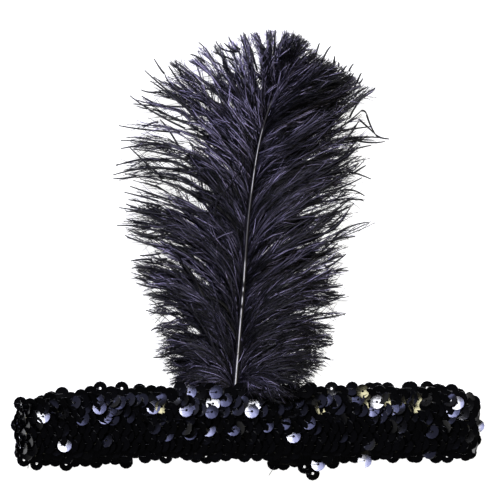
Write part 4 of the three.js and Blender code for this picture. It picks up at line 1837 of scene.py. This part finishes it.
    right_locks: Table = (
        (50.6, 140.9, 29.6, 124.5, 104.0, 1.3, 3), (53.5, 140.1, 30.4, 122.8, 101.8, 0.8, 2),
        (59.7, 119.2, 34.6, 117.4, 91.3, 0.8, 3), (57.5, 118.2, 33.8, 115.3, 89.2, 1.3, 4),
        (48.1, 114.5, 31.3, 109.0, 84.2, 2.5, 6), (52.2, 110.7, 32.5, 105.2, 80.0, 1.7, 4),
        (49.4, 108.6, 30.4, 102.7, 78.3, 1.7, 5), (48.9, 95.1, 28.3, 92.2, 67.4, 2.1, 4),
        (43.9, 99.3, 27.1, 95.1, 70.8, 2.5, 5), (42.0, 90.9, 25.4, 82.5, 59.8, 1.3, 4),
        (40.1, 87.6, 24.6, 80.0, 58.2, 1.7, 4), (51.4, 84.2, 29.6, 74.1, 53.1, 0.8, 3),
        (45.1, 78.3, 25.4, 71.6, 50.6, 1.3, 4), (39.3, 73.7, 24.1, 67.4, 48.1, 1.7, 5),
        (41.7, 71.2, 23.7, 63.2, 44.7, 1.3, 4), (42.2, 64.0, 24.1, 59.0, 42.2, 1.3, 5),
        (38.0, 61.1, 22.1, 56.9, 40.5, 2.1, 5), (40.4, 57.8, 22.1, 54.8, 38.9, 1.7, 5),
        (38.9, 54.8, 21.2, 52.3, 37.2, 1.7, 5), (40.8, 53.1, 21.2, 50.2, 35.5, 1.7, 5),
        (35.9, 50.2, 18.7, 49.4, 33.4, 1.7, 5), (41.3, 45.3, 17.8, 42.6, 30.4, 1.3, 4),
        (36.5, 39.3, 17.8, 38.9, 27.9, 2.1, 7), (35.9, 35.5, 17.0, 35.5, 25.8, 2.1, 7),
        (36.3, 32.5, 16.2, 32.1, 23.7, 2.1, 7), (33.8, 27.5, 15.3, 27.9, 21.6, 2.5, 8),
        (30.9, 23.3, 14.5, 24.6, 19.5, 2.5, 8), (28.8, 19.1, 13.7, 21.2, 17.4, 2.5, 8),
        (25.4, 15.8, 12.0, 17.8, 15.8, 2.5, 8), (12.0, 72.5, 2.7, 47.2, 17.8, 5.0, 7),
        (17.8, 61.9, 4.4, 43.0, 16.2, 5.0, 6), (28.0, 155.0, 17.0, 144.3, 134.2, 2.5, 7),
        (30.9, 152.9, 18.7, 142.2, 132.1, 2.5, 7), (33.9, 150.9, 20.4, 140.1, 130.0, 2.5, 7),
        (36.8, 149.2, 21.2, 138.0, 127.9, 2.5, 7), (39.8, 147.5, 22.1, 135.9, 125.4, 2.5, 7),
        (42.7, 145.8, 22.9, 133.8, 122.8, 2.5, 7), (45.2, 144.1, 23.7, 131.7, 119.9, 2.5, 7),
        (46.9, 142.0, 24.6, 129.6, 117.0, 2.5, 7), (43.5, 138.4, 24.6, 126.6, 113.6, 2.9, 7),
        (40.5, 133.3, 23.7, 122.0, 109.4, 2.9, 6), (38.9, 127.9, 23.3, 117.8, 103.5, 2.9, 6),
        (43.0, 114.5, 25.4, 106.9, 86.7, 2.9, 6), (42.2, 106.0, 24.6, 99.3, 75.8, 2.9, 6),
        (34.6, 76.6, 17.8, 67.4, 48.9, 2.9, 6), (16.7, 163.0, 11.5, 150.6, 139.7, 2.1, 7),
        (19.6, 162.0, 13.2, 149.7, 138.8, 2.5, 7), (22.6, 160.7, 14.9, 148.9, 137.5, 2.5, 7),
        (25.5, 158.8, 16.2, 147.2, 136.3, 2.5, 7))
    # Slits between the locks: X and Y of both ends, and radius
    gaps: Table = (
        (-5.3, 15.3, -3.2, 34.0, 0.9), (-3.2, 34.0, -2.1, 48.5, 0.6), (-23.7, 149.3, -20.4, 147.2, 1.8),
        (-20.4, 147.2, -17.4, 145.5, 1.7), (-17.4, 145.5, -14.9, 143.4, 1.62),
        (-16.6, 138.6, -12.4, 135.2, 1.49), (-20.8, 135.0, -15.8, 131.9, 1.22),
        (-10.7, 128.5, -8.2, 127.0, 1.08), (-7.6, 134.6, -5.7, 132.1, 1.22),
        (-4.7, 141.9, -3.1, 139.9, 0.94), (-0.4, 142.8, 0.4, 141.8, 0.81),
        (-19.1, 128.8, -17.2, 127.0, 1.08), (-22.5, 126.4, -18.7, 122.6, 1.35),
        (-13.0, 150.2, -11.8, 148.0, 1.08), (-12.4, 153.1, -9.4, 149.7, 1.22),
        (-10.7, 145.3, -8.6, 142.2, 1.08), (-7.8, 151.2, -6.3, 147.6, 1.08),
        (-4.4, 154.6, -3.6, 153.3, 1.08), (3.5, 153.5, 4.2, 148.0, 1.35),
        (4.2, 148.0, 5.2, 140.5, 1.22), (10.8, 158.1, 10.9, 153.5, 0.7),
        (13.4, 163.6, 12.8, 159.0, 1.0), (6.3, 163.2, 7.1, 157.3, 1.2),
        (-33.4, 130.8, -26.7, 127.5, 1.7), (-32.1, 126.9, -25.8, 124.1, 1.08),
        (-31.7, 120.8, -28.3, 118.4, 1.7), (-28.3, 118.4, -23.7, 114.9, 1.62),
        (-40.9, 136.1, -31.3, 134.2, 1.7), (-29.2, 110.1, -24.1, 107.5, 1.1),
        (-41.8, 109.0, -31.3, 108.0, 1.2), (-24.6, 103.1, -16.2, 98.1, 1.2),
        (-40.1, 102.3, -35.5, 101.7, 0.6), (-35.5, 99.1, -25.4, 94.7, 1.5),
        (-25.4, 94.7, -17.8, 89.7, 1.3), (-39.3, 91.3, -35.1, 89.2, 0.7),
        (-38.9, 87.8, -36.3, 87.1, 0.6), (-46.4, 81.1, -38.0, 79.2, 1.1),
        (-46.4, 77.5, -35.1, 75.2, 0.7), (-38.9, 69.9, -33.8, 69.3, 0.8),
        (-33.4, 50.6, -29.6, 50.6, 0.5), (-35.9, 47.0, -32.1, 46.6, 0.6),
        (-31.3, 44.9, -27.5, 44.1, 0.8), (-24.1, 38.9, -21.2, 38.2, 1.7),
        (-40.9, 43.0, -31.7, 43.7, 1.6), (-50.2, 72.9, -40.9, 72.7, 2.0),
        (38.0, 128.1, 40.1, 129.2, 0.7), (38.4, 124.5, 42.2, 127.0, 0.9),
        (37.2, 119.5, 41.4, 121.4, 1.0), (34.4, 102.1, 37.6, 104.2, 0.8), (30.4, 95.8, 33.4, 96.8, 0.6),
        (29.2, 86.7, 35.1, 89.9, 0.8), (34.2, 93.5, 40.9, 97.2, 1.1), (24.8, 80.2, 29.6, 85.0, 1.1),
        (32.8, 81.5, 33.4, 80.4, 0.9), (36.3, 85.0, 38.2, 87.1, 1.1), (6.7, 43.0, 11.1, 43.9, 1.1),
        (22.1, 45.1, 28.8, 46.0, 0.6), (30.9, 73.1, 33.4, 74.3, 0.7), (29.2, 51.7, 33.0, 52.5, 0.6),
        (31.3, 46.8, 40.9, 48.9, 1.3))
    # Places painted darker or paler, as painted shade and light: X, Y, radius and share
    shades: Table = (
        (22.1, 110.2, 7.6, 0.3), (10.3, 94.3, 5.9, 0.25), (17.8, 117.8, 5.9, 0.35),
        (34.6, 141.8, 10.1, 0.3), (-7.3, 34.6, 6.7, 0.4), (-17.8, 40.9, 5.9, 0.4),
        (-26.2, 29.6, 7.6, 0.4), (26.2, 28.3, 10.1, 0.45), (15.8, 55.6, 6.7, 0.45),
        (-13.7, 98.5, 5.0, 0.4), (-9.4, 131.2, 10.1, 1.6), (10.3, 135.4, 7.6, 1.6),
        (-5.2, 87.1, 7.6, 1.5), (8.6, 106.0, 5.9, 1.5), (-32.5, 76.6, 8.4, 1.3),
        (17.8, 43.9, 8.4, 1.4), (17.8, 35.9, 5.0, 1.8), (7.3, 76.6, 6.7, 1.3))
    left_loose: Table = (
        (-26.2, 123.5, -39.7, 130.6, -49.5, 137.5), (-24.8, 132.3, -35.5, 141.1, -43.3, 148.1),
        (-24.6, 131.2, -34.6, 139.2, -40.9, 143.6), (-24.1, 137.1, -31.5, 141.5, -34.8, 146.5),
        (-24.6, 138.0, -29.6, 144.5, -33.2, 149.9), (-21.6, 138.8, -27.5, 145.9, -30.2, 152.1),
        (-17.4, 139.7, -22.5, 145.3, -27.7, 150.0), (-34.9, 146.6, -36.8, 148.9, -39.3, 152.9),
        (-24.6, 125.4, -30.4, 127.9, -35.8, 130.3), (-28.6, 115.5, -33.4, 123.3, -36.9, 127.3),
        (-28.3, 121.9, -42.6, 123.1, -54.3, 124.9), (-37.5, 126.3, -40.9, 125.6, -43.9, 123.8),
        (-36.3, 139.1, -40.9, 138.8, -44.8, 139.9), (-24.1, 132.5, -37.6, 133.1, -48.1, 134.0),
        (-35.5, 133.5, -39.3, 134.4, -44.7, 137.4), (-10.7, 143.0, -15.3, 153.5, -20.5, 159.5),
        (-10.3, 140.7, -15.8, 146.6, -23.1, 151.9), (-17.8, 151.0, -21.2, 153.6, -24.0, 154.5),
        (-3.6, 155.2, -9.9, 156.2, -13.2, 159.8), (-2.9, 156.0, -6.3, 158.8, -7.9, 161.6),
        (-4.8, 155.6, -7.6, 156.9, -9.7, 159.0), (-5.7, 151.6, -10.7, 153.9, -14.5, 155.4),
        (-7.8, 134.2, -17.0, 142.6, -24.1, 146.7), (-7.6, 129.8, -16.6, 136.5, -24.1, 141.3),
        (-7.6, 129.2, -16.6, 133.3, -24.1, 137.4), (4.0, 147.2, 1.1, 156.9, -1.8, 163.1),
        (1.1, 148.0, -1.1, 156.4, -3.1, 162.3), (6.9, 155.6, 4.2, 159.4, 1.2, 162.8),
        (6.5, 152.2, 5.2, 157.7, 4.0, 162.8), (8.0, 144.3, 9.2, 156.4, 7.7, 163.7),
        (9.4, 151.4, 9.9, 158.5, 9.4, 163.8), (10.9, 153.1, 11.3, 158.5, 11.7, 163.7),
        (1.5, 133.6, -2.3, 143.0, -7.6, 151.6), (-30.4, 114.0, -39.7, 117.4, -53.4, 118.6),
        (-38.4, 117.1, -45.1, 116.5, -53.4, 115.2), (-36.9, 104.0, -43.3, 109.6, -49.8, 115.9),
        (-25.1, 110.2, -36.8, 113.3, -48.1, 114.9), (-24.6, 106.9, -39.3, 110.9, -55.4, 108.0),
        (-28.3, 106.3, -42.6, 106.8, -56.6, 104.1), (-19.9, 94.8, -34.2, 101.0, -51.6, 104.6),
        (-46.8, 103.5, -51.0, 102.8, -56.6, 102.5), (-29.6, 102.4, -36.8, 104.0, -42.2, 106.9),
        (-31.5, 93.1, -40.5, 96.2, -49.5, 99.3), (-37.6, 93.0, -44.3, 94.9, -51.9, 96.8),
        (-36.3, 91.0, -43.0, 92.4, -50.2, 93.7), (-46.8, 90.3, -48.9, 90.9, -51.3, 91.9),
        (-32.5, 86.7, -43.9, 88.7, -54.0, 90.3), (-36.3, 88.4, -38.4, 89.2, -40.1, 90.1),
        (-44.3, 83.7, -47.7, 84.5, -51.0, 85.6), (-40.9, 81.9, -48.1, 82.7, -55.1, 82.8),
        (-37.8, 77.8, -44.7, 78.8, -50.4, 81.2), (-36.8, 74.1, -44.7, 75.8, -51.7, 78.7),
        (-36.6, 71.0, -41.4, 70.3, -45.4, 70.1), (-40.1, 68.5, -44.7, 68.5, -49.2, 67.8),
        (-33.9, 68.7, -36.8, 68.4, -39.3, 69.1), (-40.1, 65.1, -45.1, 65.2, -48.9, 64.7),
        (-42.6, 59.6, -45.1, 60.3, -47.5, 61.0), (-33.4, 56.1, -40.9, 56.9, -46.9, 58.6),
        (-37.5, 52.3, -40.5, 53.3, -44.2, 53.5), (-29.5, 46.4, -36.3, 45.7, -43.0, 47.2),
        (-36.8, 39.3, -38.6, 39.5, -40.7, 38.4), (-17.0, 26.7, -26.7, 32.5, -35.8, 36.8),
        (-28.1, 22.1, -31.3, 21.2, -34.0, 20.5), (-28.3, 16.8, -30.0, 16.6, -31.7, 16.4),
        (-34.6, 27.5, -37.2, 27.3, -39.7, 27.1), (-1.5, 113.2, -4.8, 103.1, -17.4, 88.8),
        (-13.7, 85.9, -13.2, 91.3, -10.7, 96.8))
    right_loose: Table = (
        (28.3, 153.5, 29.2, 156.4, 29.9, 158.3), (30.9, 150.6, 32.9, 154.8, 34.6, 157.0),
        (35.9, 150.1, 36.1, 151.5, 36.1, 153.0), (37.8, 148.6, 38.0, 149.7, 37.8, 150.6),
        (42.3, 146.8, 42.9, 148.3, 44.2, 150.1), (45.6, 142.2, 46.7, 144.7, 47.6, 146.5),
        (46.4, 141.8, 47.5, 143.0, 48.2, 144.2), (41.8, 142.6, 43.3, 144.7, 44.3, 146.2),
        (38.9, 146.4, 40.3, 148.0, 41.4, 149.2), (38.9, 133.6, 45.1, 137.9, 50.5, 140.9),
        (41.4, 131.9, 47.7, 136.7, 53.6, 140.4), (42.9, 128.0, 45.8, 133.3, 51.0, 139.2),
        (37.0, 126.8, 40.8, 130.3, 44.1, 132.4), (34.6, 121.2, 41.7, 125.8, 47.7, 130.9),
        (47.7, 130.9, 49.2, 130.7, 50.1, 129.2),
        (50.1, 129.2, 51.9, 124.7, 54.1, 120.9), (54.1, 120.9, 56.5, 119.7, 59.8, 119.2),
        (46.7, 127.4, 50.4, 124.3, 54.1, 120.9), (41.4, 119.1, 44.1, 122.4, 46.7, 126.6),
        (35.9, 122.0, 43.9, 123.3, 52.0, 124.4), (31.7, 117.2, 45.1, 119.9, 59.4, 119.3),
        (43.9, 119.1, 51.1, 117.7, 57.9, 118.2), (35.2, 115.5, 39.3, 117.9, 44.7, 119.9),
        (42.2, 114.5, 44.3, 116.6, 45.8, 118.2), (36.8, 111.9, 45.2, 114.9, 52.0, 116.5),
        (32.5, 103.5, 40.9, 108.6, 46.4, 112.0), (43.9, 104.4, 47.2, 106.5, 49.9, 108.1),
        (28.3, 96.4, 37.6, 102.3, 47.0, 109.0), (42.2, 105.4, 46.8, 104.4, 52.2, 102.3),
        (30.2, 96.4, 38.9, 98.7, 48.2, 102.9), (38.9, 97.4, 44.3, 97.6, 49.4, 95.2),
        (38.9, 91.8, 44.1, 93.8, 49.1, 93.1), (24.6, 81.7, 33.4, 86.9, 42.2, 93.1),
        (22.1, 77.9, 31.3, 84.6, 40.2, 91.3), (24.6, 78.1, 33.0, 84.4, 42.0, 90.8),
        (34.9, 82.8, 37.8, 85.3, 40.2, 87.6), (35.9, 76.6, 42.3, 81.9, 51.1, 84.1),
        (36.8, 77.3, 41.4, 77.7, 45.4, 78.2), (31.3, 71.8, 34.5, 74.8, 37.2, 77.1),
        (32.5, 64.5, 37.6, 67.7, 41.7, 70.9), (33.0, 63.2, 38.0, 63.8, 42.3, 63.9),
        (31.8, 67.1, 34.0, 62.4, 32.4, 57.4), (28.3, 55.9, 35.1, 56.7, 40.4, 57.7),
        (33.0, 54.4, 35.7, 54.6, 38.3, 54.7), (33.0, 53.9, 37.2, 53.5, 40.7, 53.3),
        (28.8, 48.9, 35.1, 50.9, 40.1, 52.7), (22.1, 42.2, 33.0, 44.0, 41.2, 45.3),
        (23.6, 74.1, 29.6, 75.4, 36.8, 76.5), (20.6, 62.1, 24.6, 65.7, 30.9, 69.5),
        (29.6, 31.3, 33.4, 32.3, 36.3, 32.9), (32.5, 27.3, 33.6, 26.8, 34.8, 26.4),
        (27.2, 24.9, 30.0, 25.1, 32.5, 25.4), (28.8, 39.7, 33.0, 39.6, 36.6, 39.4),
        (33.0, 35.9, 34.6, 35.3, 36.0, 34.6), (22.1, 19.9, 23.9, 18.1, 26.0, 15.8))

    def build(self, horn: HornFinish, barbs: BarbFinish) -> None:
        """Makes the shaft and both sides.

        Args:
            horn: The shaft's finish.
            barbs: The barbs' finish.
        """
        Quill(self.line).build(horn)
        material = barbs.material()
        left = Vane(Side.LEFT, self.line, self.left, self.left_locks, self.gaps,
                    self.shades, self.left_loose)
        right = Vane(Side.RIGHT, self.line, self.right, self.right_locks, self.gaps,
                     self.shades, self.right_loose, trimmed=self.right_trimmed)
        left.build(material)
        right.build(material)


# The studio


@dataclass
class Studio:
    """A white paper table, soft lights and a camera straight above."""

    view_width: float = 210.0
    view_middle: tuple[float, float, float] = (1.05, 72.45, 8.0)
    lens: float = 200.0
    table_size: float = 8.0
    lamp_distance: float = 1.3
    far: float = 20.0
    # The room's light, by the height of the way to it
    air: tuple[tuple[float, tuple[float, ...]], ...] = (
        (0.1, (0.4, 0.4, 0.4, 1.0)), (0.4, (0.03, 0.03, 0.035, 1.0)))
    # Light, width and height in metres, brightness and colour
    lamps: tuple[tuple[Lamp, float, float, float, str], ...] = (
        (Lamp.KEY, 0.45, 0.45, 40.0, "f5f6ff"),
        (Lamp.SKY, 0.3, 0.4, 16.0, "c6caff"),
        (Lamp.DUSK, 0.3, 0.45, 4.6, "b6bcff"),
        (Lamp.HAZE, 0.6, 0.8, 0.5, "bcc0ff"),
        (Lamp.TUNGSTEN, 0.26, 0.26, 24.0, "fff8cc"))

    def _table(self) -> None:
        """Lays the table under the object."""
        bpy.ops.object.select_all(action="DESELECT")
        bpy.ops.mesh.primitive_plane_add(size=self.table_size)
        table = bpy.context.object
        table.name = "table"
        table.data.materials.append(TableFinish().material())

    def _lights(self) -> None:
        """Hangs each soft light so that it faces the band and plume."""
        middle = Vector(self.view_middle) * MM
        for lamp, width, height, brightness, colour in self.lamps:
            data = bpy.data.lights.new(lamp.name.lower(), "AREA")
            data.shape = "RECTANGLE"
            data.size, data.size_y = width, height
            data.energy = brightness * width * height * math.pi
            data.color = linear(colour)[:3]
            light = bpy.data.objects.new(lamp.name.lower(), data)
            way = Vector(lamp.way())
            light.location = middle + way * self.lamp_distance
            light.rotation_euler = way.to_track_quat("Z", "Y").to_euler()
            bpy.context.scene.collection.objects.link(light)

    def _air(self) -> None:
        """Makes the room: bright near the horizon and dark overhead."""
        world = bpy.data.worlds.new("studio")
        bpy.context.scene.world = world
        world.use_nodes = True
        tree = world.node_tree
        tree.nodes.clear()
        place = add_node(tree, "ShaderNodeTexCoord")
        split = add_node(tree, "ShaderNodeSeparateXYZ", None, {0: place.outputs["Generated"]})
        ramp = add_node(tree, "ShaderNodeValToRGB", None, {0: split.outputs["Z"]})
        for stop, (height, light) in zip(ramp.color_ramp.elements, self.air):
            stop.position, stop.color = height, light
        air = add_node(tree, "ShaderNodeBackground", None, {"Color": ramp.outputs["Color"]})
        add_node(tree, "ShaderNodeOutputWorld", None, {"Surface": air.outputs["Background"]})

    def _camera(self) -> None:
        """Sets the camera straight above the middle of the picture."""
        data = bpy.data.cameras.new("camera")
        data.lens = self.lens
        camera = bpy.data.objects.new("camera", data)
        distance = self.view_width * self.lens / data.sensor_width
        x, y, z = self.view_middle
        camera.location = Vector((x, y, z + distance)) * MM
        data.clip_end = self.far
        bpy.context.scene.collection.objects.link(camera)
        bpy.context.scene.camera = camera

    def build(self) -> None:
        """Makes the table, the lights, the room and the camera."""
        self._table()
        self._lights()
        self._air()
        self._camera()
        bpy.context.scene.view_settings.view_transform = "Standard"


def main() -> None:
    """Builds the headband and its studio, piece by piece."""
    path = StripPath()
    KnitBand(path).build(KnitFinish())
    SequinStrings(path).build(SequinFinish(), ThreadFinish())
    Plume().build(HornFinish(), BarbFinish())
    Studio().build()


if __name__ == "__main__":
    main()
